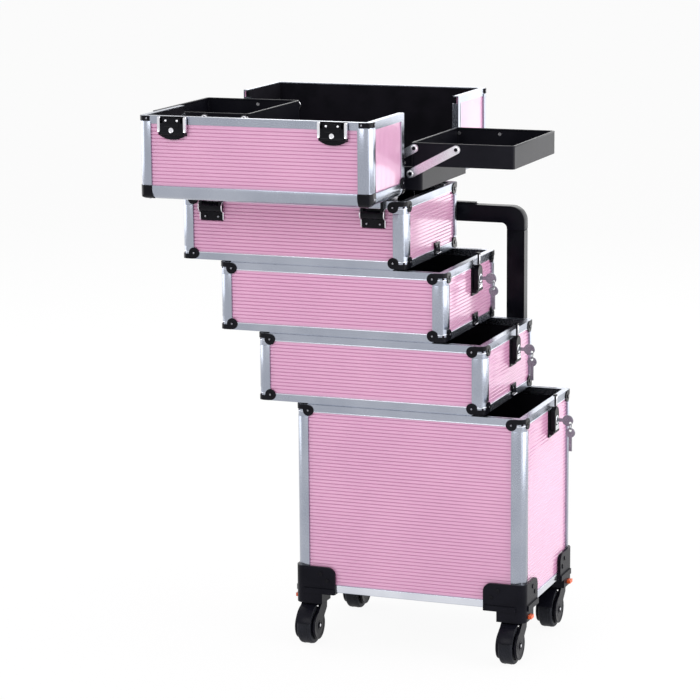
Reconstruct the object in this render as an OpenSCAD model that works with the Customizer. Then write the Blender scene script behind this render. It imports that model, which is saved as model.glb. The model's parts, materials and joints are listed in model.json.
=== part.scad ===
// Rolling hairdressing case: a bin on casters, two sliding tiers and a top case
// with two half lids and cantilever trays, all with ribbed panels and aluminium edges.
// Origin: the middle of the flat underside of the bin. The front is -Y and up is +Z.
// The model stands as photographed: tiers pulled out, half lids open, trays raised.

/* [Boxes] */
// Width of every box
case_w = 340; // [320:5:380]
// Depth of every box
case_d = 230; // [220:5:260]
// Height of the bin
bin_h = 275; // [200:5:320]
// Height of each sliding tier
tier_h = 98; // [90:2:130]
// Height of the base of the top case
base_h = 96; // [90:2:130]
// Height of the half lids
lid_h = 135; // [126:1:150]
// Gap between two stacked boxes
stack_gap = 2; // [1.6:0.2:3]
// How far each tier is pulled out
slide_travel = 58; // [30:1:80]

/* [Walls and frame] */
// Thickness of the black lined boards
board_t = 5; // [4:0.5:6]
// Thickness of the ribbed pink skins
skin_t = 1.5; // [1.2:0.1:2]
// Spacing of the ribs on the skins
rib_pitch = 5; // [4:0.5:8]
// Depth of the grooves between the ribs
rib_depth = 0.7; // [0.4:0.1:0.9]
// Thickness of the aluminium profiles
alu_t = 1.5; // [1.2:0.1:2]
// Width of the round-edged aluminium profiles on each face
edge_w = 18; // [16:1:24]
// Radius of the round edges
edge_r = 9; // [8:0.5:11]
// Height of the rim and bottom rails on each face
rail_h = 11; // [10:0.5:14]
// Thickness of the pressed corner braces
brace_t = 1.3; // [1:0.1:1.6]
// Radius of the ears of the corner braces
ear_r = 8; // [7:0.5:9]

/* [Trays] */
// Height of a tray
tray_h = 32; // [30:1:40]
// Thickness of the tray walls
tray_t = 2.5; // [2:0.25:3.5]
// Pivot spacing of the long arms
arm_len = 76; // [70:1:80]
// Pivot spacing of the short arms
short_arm_len = 50; // [44:1:54]
// Lean of the long arms of a swung-out tray from upright
arm_lean = 62; // [55:1:65]
// Lean of the short arms from upright
short_arm_lean = 16.8; // [15:0.2:20]
// Lean of the long arms of the half raised left tray, inwards from upright
left_lean = 27; // [0:1:50]
// Width of the arms
arm_w = 12; // [10:0.5:13]
// Thickness of the arms
arm_t = 2; // [1.5:0.25:2.5]
// Distance between the two arms of a pair
arm_pitch = 61.5; // [56:0.5:64]

/* [Handle] */
// Distance between the middles of the two handle tubes
tube_pitch = 160; // [130:5:190]
// Width of the outer handle tubes
tube_w = 27; // [22:1:30]
// Depth of the outer handle tubes
tube_d = 16; // [14:0.5:18]
// How far the outer tubes are drawn out
handle_out = 230; // [100:5:250]
// Height of the grip bar
grip_h = 25; // [20:1:30]

/* [Casters] */
// Wheel diameter
wheel_d = 54; // [44:1:60]
// Wheel width
wheel_w = 20; // [14:1:22]
// Distance of the swivel axes from the faces of the bin
caster_inset = 18; // [16:1:24]
// How far the wheel trails behind the swivel axis
caster_trail = 20; // [14:1:24]
// Thickness of the moulded corner walls
mould_t = 4; // [3:0.5:6]
// Reach of the moulded corners along each face
mould_reach = 58; // [52:1:75]
// Height of the moulded corners on each face
mould_h = 37; // [30:1:45]

/* [Hidden] */
$fn = 48;

// Clearances
run_gap = 0.3;
pin_gap = 0.1;
mitre_gap = 0.1;

// Depths below the outer face of the frame
skin_in = alu_t;
board_in = skin_in + skin_t;
wall_in = board_in + board_t;
rail_in = wall_in + alu_t;
foot_in = rail_in + 2.5;

// Rim rail: a channel whose top is slotted for the runners of the box above
rim_floor = 7.5;
slot_w = 3.6;
slot_side = (alu_t + wall_in - slot_w) / 2;
slot_end = 16;
runner_t = 1.6;

// Colours of the finishes
pink = [0.93, 0.66, 0.78];
silver = [0.8, 0.82, 0.84];
black = [0.08, 0.08, 0.09];
steel = [0.6, 0.61, 0.63];
orange = [0.9, 0.3, 0.1];

// Heights of the boxes above the underside of the bin, and of the floor below it
fork_top = wheel_d + 5;
collar_h = 6.4;
foot_h = 12;
floor_z = -(fork_top + run_gap + collar_h + foot_h);
bin_z = 0;
lower_z = bin_z + bin_h + stack_gap;
upper_z = lower_z + tier_h + stack_gap;
top_z = upper_z + tier_h + stack_gap;

// Hinges of the half lids, in the frame of the top case base
hinge_out = 6;
hinge_up = 4;
hinge_y = case_d / 2 + hinge_out;
hinge_z = base_h + hinge_up;
hinge_x = 123;
hinge_w = 34;
hinge_pin_r = 2.5;
hinge_knuckle_r = 5;
lid_gap = 0.5;
lid_z = base_h + lid_gap;
lid_d = case_d / 2 - run_gap;

// Corner braces
brace_len = 16;
brace_h = 7;
rivet_r = 3;
screw_r = 1.6;
rivet_up = 1;

// Trays, in the frame of the top case base
tray_side_gap = 2;
tray_mid_gap = 10;
tray_end_gap = 8;
tray_r = 5;
inner_w = case_w - 2 * wall_in;
inner_d = case_d - 2 * wall_in;
tray_w = inner_w / 2 - tray_side_gap - tray_mid_gap;
tray_d = inner_d - 2 * tray_end_gap;
tray_out_x = inner_w / 2 - tray_side_gap;
low_tray_z = base_h + 15;
high_tray_z = low_tray_z + tray_h + 2;
pin_r = 2.5;
collar_r = 4.5;
pin_head = 1;
arm_y = tray_d / 2 + run_gap;
short_pivot_x = tray_out_x - 34;
short_pivot_z = low_tray_z + 12;
long_pivot_x = tray_out_x - 16;
long_pivot_z = low_tray_z + 23;
short_swing = short_arm_len * sin(short_arm_lean);
long_swing = arm_len * sin(arm_lean);

// Handle
tube_wall = 2;
tube_len = bin_h - 20;
housing_wall = 3;
housing_z = bin_z + 15;
tube_y = case_d / 2 + 24;
grip_w = tube_pitch + tube_w;
grip_t = 19;
grip_r = 22;
grip_z = housing_z + 2 + tube_len + handle_out + run_gap;
grip_leg = 10;
button_w = 34;
button_d = 12;
button_h = 9;
button_up = 3;

// Casters
stem_r = 5.5;
collar_out_r = 17;
axle_r = 4;
axle_z = wheel_d / 2;
cheek_t = 4;
cheek_gap = 1.5;
tower_w = 2 * caster_inset + 2;
tab_w = 12;
tab_h = 5;
tab_in = 12;
tab_out = 5;
tab_room = 4;

// Side latches, near the rims of the bin and both tiers
latch_y = 20;
latch_w = 20;
latch_h = 36;
latch_t = 7;
latch_top = 8;
latch_pin_r = 2;
latch_gap = 1.1;
plug_r = 4.5;
plug_z = 17;
key_t = 2;
key_out = 16;
key_r = 8;
hung_key_r = 7;
hung_key_len = 20;
ring_r = 4;
ring_wire = 0.7;
ring_hole_r = 2;
catch_z = 3;

// Latches across the split between the half lids
lid_latch_x = 118;
lid_latch_w = 34;
lid_latch_h = 26;
lid_latch_t = 6;
lid_pin_z = 4.4;
lid_pin_r = 1.5;
tongue_w = 14;
tongue_out = 8;
tongue_t = 1.6;

// Plan view helpers

// A square corner from the origin inwards, o inside the outer faces, with the round edge
module corner_plan(o, size) {
    intersection() {
        translate([edge_r, edge_r])
            circle(edge_r - o);
        translate([o, o])
            square(edge_r - o);
    }
    translate([o, edge_r])
        square([size - o, size - edge_r]);
    translate([edge_r, o])
        square([size - edge_r, size - o]);
}

// A rectangle with round corners, centred
module round_rect(w, d, r) {
    for (x = [-1, 1], y = [-1, 1])
        translate([x * (w / 2 - r), y * (d / 2 - r)])
            circle(r);
    square([w - 2 * r, d], center = true);
    square([w, d - 2 * r], center = true);
}

// Puts its children at the four upright corners, each with its own +X and +Y inwards
module at_corners(w, d) {
    for (i = [0:3])
        rotate(90 * i)
            translate([-(i % 2 == 0 ? w : d) / 2, -(i % 2 == 0 ? d : w) / 2, 0])
                children();
}

// Draws its children as they are and once more across the diagonal of the corner
module both_faces() {
    children();
    mirror([1, -1, 0])
        children();
}

// Extrudes a (depth, height) profile along X, from the origin
module along_x(len) {
    rotate([90, 0, 90])
        linear_extrude(len)
            children();
}

// Profiles of the aluminium parts, in (depth, height)

module rim_profile() {
    difference() {
        translate([0, -rail_h])
            square([rail_in, rail_h]);
        translate([alu_t, -rim_floor + alu_t])
            square([wall_in - alu_t, rim_floor - 2 * alu_t]);
        translate([alu_t, -rail_h - 1])
            square([wall_in - alu_t, rail_h + 1 - rim_floor]);
    }
}

module bottom_profile() {
    square([alu_t, rail_h]);
    square([foot_in, alu_t]);
}

// Four mitred rails round a box with the given profile, which spans z0 to z1
module rail_ring(depth, z0, z1) {
    intersection() {
        translate([0, 0, z0 - 1])
            linear_extrude(z1 - z0 + 2)
                round_rect(case_w, case_d, edge_r);
        for (i = [0:3]) {
            len = i % 2 == 0 ? case_w : case_d;
            deep = i % 2 == 0 ? case_d : case_w;
            rotate(90 * i)
                translate([-len / 2, -deep / 2, 0])
                    intersection() {
                        along_x(len)
                            children();
                        translate([0, 0, z0 - 1])
                            linear_extrude(z1 - z0 + 2)
                                polygon([
                                    [mitre_gap, 0],
                                    [len - mitre_gap, 0],
                                    [len - depth - mitre_gap, depth],
                                    [depth + mitre_gap, depth],
                                ]);
                    }
        }
    }
}

// Slots in the front and back rim rails, in which the box above slides
module runner_slots(h) {
    slot_y = case_d / 2 - slot_side - slot_w / 2;
    for (y = [-slot_y, slot_y])
        translate([-case_w / 2 + slot_end, y - slot_w / 2, h - alu_t - 1])
            cube([case_w - 2 * slot_end - 3, slot_w, alu_t + 2]);
}

// T-shaped runners under a box that slides on the rim below it
module runners() {
    x0 = -case_w / 2 + slot_end + run_gap + slide_travel;
    x1 = case_w / 2 - slot_end - 3 - run_gap;
    head_z = -stack_gap - alu_t - run_gap - runner_t;
    head_w = slot_w + 2;
    stem_w = slot_w - 2 * run_gap;
    for (y = [-1, 1])
        translate([x0, y * (case_d / 2 - slot_side - slot_w / 2), 0]) {
            translate([0, -stem_w / 2, head_z])
                cube([x1 - x0, stem_w, -head_z]);
            translate([0, -head_w / 2, head_z])
                cube([x1 - x0, head_w, runner_t]);
        }
}

// Parts of a box, standing on z = 0

module shell(h) {
    difference() {
        translate([-case_w / 2 + board_in, -case_d / 2 + board_in, alu_t])
            cube([case_w - 2 * board_in, case_d - 2 * board_in, h - rim_floor - alu_t]);
        translate([-inner_w / 2, -inner_d / 2, alu_t + board_t])
            cube([inner_w, inner_d, h]);
    }
    translate([-case_w / 2 + foot_in, -case_d / 2 + foot_in, 0])
        cube([case_w - 2 * foot_in, case_d - 2 * foot_in, alu_t]);
}

// A skin of the given height whose outer face, at y = 0, has grooves between from and to
module ribbed_skin(len, h, from, to) {
    count = floor((to - from) / rib_pitch);
    first = from + (to - from - (count - 1) * rib_pitch) / 2;
    half = rib_depth;
    grooves = [
        for (i = [0:count - 1], k = [-1, 0, 1])
            [k == 0 ? rib_depth : 0, first + i * rib_pitch + k * half],
    ];
    along_x(len)
        polygon(concat([[skin_t, 0], [0, 0]], grooves, [[0, h], [skin_t, h]]));
}

module panels(h) {
    panel_h = h - rim_floor - alu_t;
    for (i = [0:3]) {
        len = (i % 2 == 0 ? case_w : case_d) - 2 * (board_in + skin_t + 1.5);
        deep = i % 2 == 0 ? case_d : case_w;
        rotate(90 * i)
            translate([-len / 2, -deep / 2 + skin_in, alu_t])
                ribbed_skin(len, panel_h, rail_h, h - rail_h - alu_t);
    }
}

module upright_plan() {
    difference() {
        corner_plan(0, edge_w);
        translate([board_in, board_in])
            square(edge_w);
        both_plan_slots();
    }
}

module both_plan_slots() {
    slot_from = board_in + skin_t + 1.5;
    translate([slot_from, skin_in])
        square([edge_w, skin_t + 0.01]);
    translate([skin_in, slot_from])
        square([skin_t + 0.01, edge_w]);
}

module frame(h, slots) {
    difference() {
        translate([0, 0, h])
            rail_ring(rail_in, -rail_h, 0)
                rim_profile();
        if (slots)
            runner_slots(h);
    }
    rail_ring(foot_in, 0, rail_h)
        bottom_profile();
    translate([0, 0, rail_h])
        at_corners(case_w, case_d)
            linear_extrude(h - 2 * rail_h)
                upright_plan();
}

// A rivet or screw head on a face that looks along -Y
module rivet(x, z, r = rivet_r) {
    translate([x, 0, z])
        rotate([90, 0, 0]) {
            cylinder(r = r, h = rivet_up * 0.6);
            cylinder(r1 = r, r2 = r * 0.6, h = rivet_up);
        }
}

// One corner brace from z0 up, with an ear and a rivet on each face
module brace(z0, ear_z) {
    translate([0, 0, z0])
        linear_extrude(brace_h)
            difference() {
                corner_plan(-brace_t, brace_len);
                corner_plan(0, brace_len + 1);
            }
    both_faces() {
        translate([brace_len + 2, 0, ear_z])
            rotate([90, 0, 0])
                cylinder(r = ear_r, h = brace_t);
        translate([brace_len + 2, -brace_t, ear_z])
            rivet(0, 0);
    }
}

module braces(h, top, bottom) {
    if (top)
        at_corners(case_w, case_d)
            brace(h - brace_h - 0.2, h - ear_r - 0.6);
    if (bottom)
        at_corners(case_w, case_d)
            brace(0.2, ear_r + 0.6);
}

// Puts its children on the right-hand face of a box, seen from outside: X runs backwards
module on_right_face() {
    rotate(90)
        translate([0, -case_w / 2, 0])
            children();
}

// Fixed plate of a side latch, with the two ears that carry its lever
module latch_plate(h) {
    ear_t = 3.4;
    ear_x = latch_w / 2 + 2;
    plate_top = h - rail_h - run_gap;
    plate_h = latch_h + 4;
    pin_z = h - latch_top - latch_h;
    pin_y = -latch_t / 2 - 1;
    on_right_face()
        translate([latch_y, 0, 0]) {
            translate([-latch_w / 2 - 4, -0.6, plate_top - plate_h])
                cube([latch_w + 8, skin_in + 0.6, plate_h]);
            for (x = [-1, 1]) {
                translate([x * ear_x - ear_t / 2, pin_y, pin_z - 3])
                    cube([ear_t, 0.5 - pin_y - 1, 6]);
                translate([x * ear_x - ear_t / 2, pin_y, pin_z])
                    rotate([0, 90, 0])
                        cylinder(r = 3, h = ear_t);
                translate([0, -0.6, 0])
                    rivet(x * ear_x, plate_top - 8, screw_r);
            }
            translate([-ear_x - 1, pin_y, pin_z])
                rotate([0, 90, 0])
                    cylinder(r = latch_pin_r, h = 2 * ear_x + 2);
        }
}

// Lever of a side latch: a flat lock body with a round top and a hook above the rim
module latch_lever(h) {
    pin_z = h - latch_top - latch_h;
    pin_y = -latch_t / 2 - 1;
    top_z = h - latch_top;
    claw_w = 8;
    on_right_face()
        translate([latch_y, 0, 0])
            difference() {
                union() {
                    translate([-latch_w / 2, -latch_gap - latch_t, pin_z])
                        cube([latch_w, latch_t, latch_h - latch_w / 2]);
                    translate([0, -latch_gap, top_z - latch_w / 2])
                        rotate([90, 0, 0])
                            cylinder(r = latch_w / 2, h = latch_t);
                    translate([-latch_w / 2 + run_gap, pin_y, pin_z])
                        rotate([0, 90, 0])
                            cylinder(r = latch_t / 2 - 0.4, h = latch_w - 2 * run_gap);
                    translate([-claw_w / 2, -7, top_z - 4])
                        cube([claw_w, 2, latch_top + 14]);
                    translate([-claw_w / 2, -7, h + 8])
                        cube([claw_w, 4, 2]);
                }
                translate([0, pin_y, pin_z])
                    rotate([0, 90, 0])
                        cylinder(r = latch_pin_r + pin_gap, h = 2 * latch_w, center = true);
                translate([0, -latch_gap - latch_t + 5, pin_z + plug_z])
                    rotate([90, 0, 0])
                        cylinder(r = plug_r + pin_gap, h = 6);
            }
}

// A key bow in the plane of the case's depth, with the hole for the ring
module key_bow(y, z, r, hole_y, hole_z) {
    difference() {
        translate([-key_t / 2, y, z])
            rotate([0, 90, 0])
                cylinder(r = r, h = key_t);
        translate([-key_t, hole_y, hole_z])
            rotate([0, 90, 0])
                cylinder(r = ring_hole_r, h = 2 * key_t);
    }
}

// Lock plug and key in a side latch, with a second key hanging on a ring
module latch_key(h) {
    pin_z = h - latch_top - latch_h;
    bite = 0.05;
    hole_y = -key_out - 4;
    hole_z = -3.5;
    ring_z = hole_z - ring_hole_r + ring_wire - bite - ring_r;
    hung_hole_z = ring_z - ring_r + ring_wire - bite - ring_hole_r;
    hung_z = hung_hole_z - 3.5;
    on_right_face()
        translate([latch_y, -latch_gap - latch_t, pin_z + plug_z]) {
            translate([0, 4.7, 0])
                rotate([90, 0, 0])
                    cylinder(r = plug_r, h = 5.2);
            translate([-key_t / 2, -9, -2.5])
                cube([key_t, 9, 5]);
            key_bow(-key_out, 0, key_r, hole_y, hole_z);
            translate([0, hole_y, ring_z])
                rotate([90, 0, 0])
                    rotate_extrude()
                        translate([ring_r, 0])
                            circle(ring_wire);
            key_bow(hole_y, hung_z, hung_key_r, hole_y, hung_hole_z);
            translate([-key_t / 2, hole_y - 2.3, hung_z - hung_key_r - hung_key_len])
                cube([key_t, 4.6, hung_key_len + 1]);
        }
}

// Catch at the lower edge of a box, which the hook of the latch below holds
module catch() {
    on_right_face() {
        translate([latch_y - 10, -1.5, catch_z - 1])
            cube([20, 1.5, 18]);
        translate([latch_y - 7, -4.4, catch_z])
            cube([14, 3, 2]);
        for (x = [-6, 6])
            translate([latch_y, -1.5, 0])
                rivet(x, catch_z + 11);
    }
}

// Moulded corners of the bin that carry the casters, and the handle guides

module moulded_corner() {
    flat_z = bin_z - foot_h;
    plate_t = 3;
    ledge_t = 2;
    round_r = 12;
    pad_w = mould_reach - foot_in - run_gap;
    difference() {
        union() {
            translate([0, 0, bin_z - plate_t])
                linear_extrude(plate_t)
                    corner_plan(-mould_t, mould_reach);
            translate([foot_in + run_gap, foot_in + run_gap, bin_z - 1])
                cube([pad_w, pad_w, 1 + alu_t]);
            translate([0, 0, flat_z - collar_h])
                linear_extrude(foot_h + collar_h)
                    tower_plan();
            translate([0, 0, bin_z])
                linear_extrude(mould_h)
                    difference() {
                        corner_plan(-mould_t, edge_r + 1);
                        corner_plan(0, edge_r + 2);
                    }
            both_faces() {
                translate([edge_r, -mould_t, bin_z])
                    cube([mould_reach - edge_r - round_r, mould_t, mould_h]);
                translate([mould_reach - round_r - 1, -mould_t, bin_z])
                    cube([round_r + 1, mould_t, mould_h - round_r]);
                translate([mould_reach - round_r, 0, bin_z + mould_h - round_r])
                    rotate([90, 0, 0])
                        cylinder(r = round_r, h = mould_t);
                translate([edge_r, -mould_t - ledge_t, bin_z - plate_t])
                    cube([mould_reach - edge_r - 1, ledge_t, plate_t + 5]);
            }
        }
        translate([caster_inset, caster_inset, flat_z - collar_h - 1])
            cylinder(r = stem_r + pin_gap, h = foot_h + collar_h - 1);
    }
}

// Plan of the tower under a corner that holds the caster's stem
module tower_plan() {
    inner_r = 10;
    difference() {
        corner_plan(-mould_t, tower_w);
        translate([tower_w - inner_r, tower_w - inner_r])
            square(inner_r + 1);
    }
    translate([tower_w - inner_r, tower_w - inner_r])
        circle(inner_r);
}

// Where a release tab sits, on the outer side of the tower at the corner [x side, y side]
function tab_place(side) = [
    side[0] * (case_w / 2 + mould_t),
    side[1] * (case_d / 2 - caster_inset),
    bin_z - foot_h - run_gap,
];

module tab_pocket(side) {
    translate(tab_place(side))
        cube([2 * tab_in, tab_w + 2 * run_gap, tab_h + 2 * run_gap], center = true);
}

module release_tab(side) {
    color(orange)
        translate(tab_place(side))
            difference() {
                translate([side[0] * (tab_out - tab_in + tab_room) / 2, 0, 0])
                    cube([tab_in + tab_out - tab_room, tab_w, tab_h], center = true);
                for (x = [2.2, 3.8])
                    translate([side[0] * x, 0, tab_h / 2])
                        rotate([90, 0, 0])
                            cylinder(r = 0.5, h = 2 * tab_w, center = true);
            }
}

SIDES = [[-1, -1], [1, -1], [-1, 1], [1, 1]];

module handle_housing(x) {
    translate([x, tube_y, housing_z])
        difference() {
            translate([-tube_w / 2 - housing_wall, -tube_y + case_d / 2, 0])
                cube([
                    tube_w + 2 * housing_wall,
                    tube_y - case_d / 2 + tube_d / 2 + housing_wall,
                    tube_len,
                ]);
            translate([-tube_w / 2 - run_gap, -tube_d / 2 - run_gap, 1.5])
                cube([tube_w + 2 * run_gap, tube_d + 2 * run_gap, tube_len]);
        }
}

module bin_shell() {
    notch = mould_reach - foot_in + run_gap;
    color(black)
        translate([0, 0, bin_z])
            difference() {
                shell(bin_h);
                at_corners(case_w, case_d)
                    translate([foot_in - 1, foot_in - 1, -1])
                        cube([notch + 1, notch + 1, alu_t + 1]);
            }
}

module bin_panels() {
    color(pink)
        translate([0, 0, bin_z])
            panels(bin_h);
}

module bin_frame() {
    color(silver)
        translate([0, 0, bin_z])
            frame(bin_h, true);
}

module bin_fittings() {
    color(black)
        translate([0, 0, bin_z]) {
            braces(bin_h, true, false);
            latch_plate(bin_h);
            at_corners(case_w, case_d)
                both_faces()
                    translate([0, -mould_t, 0]) {
                        rivet(36, mould_h - 10);
                        rivet(46, mould_h - 20);
                    }
        }
}

module bin_mouldings() {
    color(black) {
        difference() {
            at_corners(case_w, case_d)
                moulded_corner();
            for (side = SIDES)
                tab_pocket(side);
        }
        for (x = [-1, 1])
            handle_housing(x * tube_pitch / 2);
    }
}

// Sliding tiers, n boxes above the bin

module tier_place(n) {
    translate([-n * slide_travel, 0, [bin_z, lower_z, upper_z, top_z][n]])
        children();
}

module tier_shell(n) {
    color(black)
        tier_place(n)
            shell(tier_h);
}

module tier_panels(n) {
    color(pink)
        tier_place(n)
            panels(tier_h);
}

module tier_frame(n) {
    color(silver)
        tier_place(n) {
            frame(tier_h, true);
            runners();
        }
}

module tier_fittings(n) {
    color(black)
        tier_place(n) {
            braces(tier_h, true, true);
            latch_plate(tier_h);
            catch();
        }
}

module latch(n) {
    color(black)
        tier_place(n)
            latch_lever(n == 0 ? bin_h : tier_h);
}

module key(n) {
    color(steel)
        tier_place(n)
            latch_key(n == 0 ? bin_h : tier_h);
}

module lower_tier_shell() {
    tier_shell(1);
}

module lower_tier_panels() {
    tier_panels(1);
}

module lower_tier_frame() {
    tier_frame(1);
}

module lower_tier_fittings() {
    tier_fittings(1);
}

module upper_tier_shell() {
    tier_shell(2);
}

module upper_tier_panels() {
    tier_panels(2);
}

module upper_tier_frame() {
    tier_frame(2);
}

module upper_tier_fittings() {
    tier_fittings(2);
}

// Top case base

// Base half of a lid hinge, on a face that looks along -Y, at its x
module base_hinge(x) {
    ear_t = 4;
    leaf_bottom = base_h - 39;
    drum_z = base_h - 19;
    drum_r = 7.5;
    translate([x, -case_d / 2, 0]) {
        translate([-hinge_w / 2, -0.5, leaf_bottom])
            cube([hinge_w, skin_in + 0.5, base_h - rail_h - run_gap - leaf_bottom]);
        difference() {
            translate([0, 0, drum_z])
                rotate([0, 90, 0])
                    cylinder(r = drum_r, h = hinge_w, center = true);
            translate([-hinge_w, skin_in, drum_z - 2 * drum_r])
                cube([2 * hinge_w, 4 * drum_r, 4 * drum_r]);
            translate([-hinge_w, -run_gap, base_h - rail_h - run_gap])
                cube([2 * hinge_w, 4 * drum_r, 4 * drum_r]);
        }
        for (s = [-1, 1])
            translate([s * (hinge_w - ear_t) / 2 - ear_t / 2, 0, 0]) {
                translate([0, -hinge_out, hinge_z])
                    rotate([0, 90, 0])
                        cylinder(r = hinge_knuckle_r, h = ear_t);
                translate([0, -hinge_out - 1, drum_z + 3])
                    cube([ear_t, hinge_out + 1 - run_gap, hinge_z - drum_z - 3]);
            }
        translate([-hinge_w / 2, -hinge_out, hinge_z])
            rotate([0, 90, 0])
                cylinder(r = hinge_pin_r, h = hinge_w);
        for (s = [-1, 1])
            translate([0, -0.5, 0])
                rivet(s * (hinge_w / 2 - 7), leaf_bottom + 6);
    }
}

module top_place() {
    tier_place(3)
        children();
}

module arm_bores(x, z, r) {
    for (s = [-1, 1])
        translate([x, s * inner_d / 2, z])
            rotate([90, 0, 0])
                cylinder(r = r, h = 6, center = true);
}

module top_base_shell() {
    color(black)
        top_place()
            difference() {
                shell(base_h);
                for (side = [-1, 1], inner = [0, 1])
                    arm_bores(
                        side * (short_pivot_x - inner * arm_pitch + short_swing),
                        short_pivot_z - short_arm_len * cos(short_arm_lean),
                        pin_r + pin_gap
                    );
            }
}

module top_base_panels() {
    color(pink)
        top_place()
            panels(base_h);
}

module top_base_frame() {
    color(silver)
        top_place() {
            frame(base_h, false);
            runners();
        }
}

module top_base_fittings() {
    color(black)
        top_place() {
            braces(base_h, true, true);
            catch();
            for (a = [0, 180], x = [-1, 1])
                rotate(a)
                    base_hinge(x * hinge_x);
        }
}

// Half lids, drawn closed and then turned open about their hinges

module open_lid() {
    translate([0, -hinge_y, hinge_z])
        rotate([90, 0, 0])
            translate([0, hinge_y, lid_z - hinge_z])
                children();
}

module front_place() {
    top_place()
        open_lid()
            children();
}

module back_place() {
    top_place()
        rotate(180)
            open_lid()
                children();
}

// Lid parts stand on z = 0, with the front face at -case_d / 2 and the split at y = -run_gap

module lid_shell() {
    y0 = -case_d / 2 + board_in;
    y1 = -run_gap - alu_t;
    difference() {
        translate([-case_w / 2 + board_in, y0, alu_t])
            cube([case_w - 2 * board_in, y1 - y0, lid_h - board_in - alu_t]);
        translate([-inner_w / 2, y0 + board_t, 0])
            cube([inner_w, case_d, lid_h - wall_in]);
    }
}

module lid_panels() {
    margin = board_in + skin_t + 1.5;
    side_d = lid_d - alu_t - margin;
    face_w = case_w - 2 * margin;
    // Front face
    translate([-face_w / 2, -case_d / 2 + skin_in, alu_t])
        ribbed_skin(face_w, lid_h - margin - alu_t, rail_h, lid_h - edge_w - alu_t);
    // Top face
    translate([-face_w / 2, -case_d / 2 + margin, lid_h - skin_in])
        rotate([-90, 0, 0])
            ribbed_skin(face_w, side_d, edge_w - margin + 1, side_d - rail_h);
    // Side faces
    for (s = [-1, 1]) {
        from_y = s > 0 ? -case_d / 2 + margin : -run_gap - alu_t;
        translate([s * (case_w / 2 - skin_in), from_y, alu_t])
            rotate(s * 90)
                ribbed_skin(side_d, lid_h - margin - alu_t, rail_h, lid_h - edge_w - alu_t);
    }
}

// Round-edged profile along the top front edge, the upright edges and the top side edges
module lid_edges() {
    len_x = case_w - 2 * edge_w;
    len_z = lid_h - rail_h - edge_w;
    len_y = lid_d - edge_w - rail_h;
    translate([-len_x / 2, -case_d / 2, lid_h])
        rotate([0, 90, 0])
            linear_extrude(len_x)
                upright_plan();
    for (s = [-1, 1])
        mirror([s > 0 ? 1 : 0, 0, 0]) {
            translate([-case_w / 2, -case_d / 2, rail_h])
                linear_extrude(len_z)
                    upright_plan();
            translate([-case_w / 2, -run_gap - rail_h, lid_h])
                rotate([90, 90, 0])
                    linear_extrude(len_y)
                        upright_plan();
        }
}

module lid_frame() {
    lid_edges();
    // Rail along the lower edge of the front and the sides
    intersection() {
        rail_ring(rail_in, 0, rail_h)
            mirror([0, 1, 0])
                lid_rail_profile();
        translate([-case_w, -case_d, -1])
            cube([2 * case_w, case_d - run_gap - rail_h - mitre_gap, 2 * rail_h]);
    }
    // Rails along the split: both sides and the top
    difference() {
        translate([-case_w / 2, -run_gap - rail_h, 0])
            cube([case_w, rail_h, lid_h]);
        translate([-case_w / 2 + alu_t, -run_gap - rail_h - 1, -1])
            cube([case_w - 2 * alu_t, rail_h + 1 - alu_t, lid_h + 1 - alu_t]);
        translate([-inner_w / 2, -case_d, -1])
            cube([inner_w, 2 * case_d, lid_h + 1 - wall_in]);
        for (s = [-1, 1])
            translate([s * (case_w / 2 - edge_r) - edge_r, -rail_h - 2, lid_h - edge_r])
                difference() {
                    translate([s > 0 ? edge_r : -0.01, 0, 0])
                        cube([edge_r + 0.01, rail_h + 3, edge_r + 0.01]);
                    translate([edge_r, -1, 0])
                        rotate([-90, 0, 0])
                            cylinder(r = edge_r, h = rail_h + 5);
                }
    }
}

module lid_rail_profile() {
    difference() {
        translate([0, -rail_h])
            square([rail_in, rail_h]);
        translate([alu_t, -rail_h - 1])
            square([wall_in - alu_t, rail_h + 1 - alu_t]);
    }
}

// Black three-way cap on a top front corner of a lid, for the left-hand side
module lid_cap() {
    size = edge_w;
    difference() {
        intersection() {
            translate([0, 0, -size])
                linear_extrude(size + brace_t)
                    corner_plan(-brace_t, size);
            translate([-brace_t, 0, 0])
                rotate([0, 90, 0])
                    linear_extrude(size + brace_t)
                        corner_plan(-brace_t, size);
            translate([0, size, 0])
                rotate([90, 90, 0])
                    linear_extrude(size + brace_t)
                        corner_plan(-brace_t, size);
        }
        translate([board_in, board_in, -size - 1])
            cube([size, size, size + 1 - board_in]);
        translate([board_in + skin_t + 1.5, skin_in, -size - 1])
            cube([size, size, size + 1 - board_in - skin_t - 1.5]);
        translate([skin_in, board_in + skin_t + 1.5, -size - 1])
            cube([size, size, size + 1 - board_in - skin_t - 1.5]);
        translate([board_in + skin_t + 1.5, board_in + skin_t + 1.5, -size - 1])
            cube([size, size, size + 1 - skin_in]);
    }
}

// Brace round a top side edge where it meets the split, for the left-hand side
module split_brace() {
    translate([0, -run_gap - 0.3, 0])
        rotate([90, 90, 0]) {
            linear_extrude(brace_h)
                difference() {
                    corner_plan(-brace_t, brace_len);
                    corner_plan(0, brace_len + 1);
                }
            both_faces()
                translate([brace_len - 4, -brace_t, brace_h / 2])
                    rivet(0, 0);
        }
}

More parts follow.
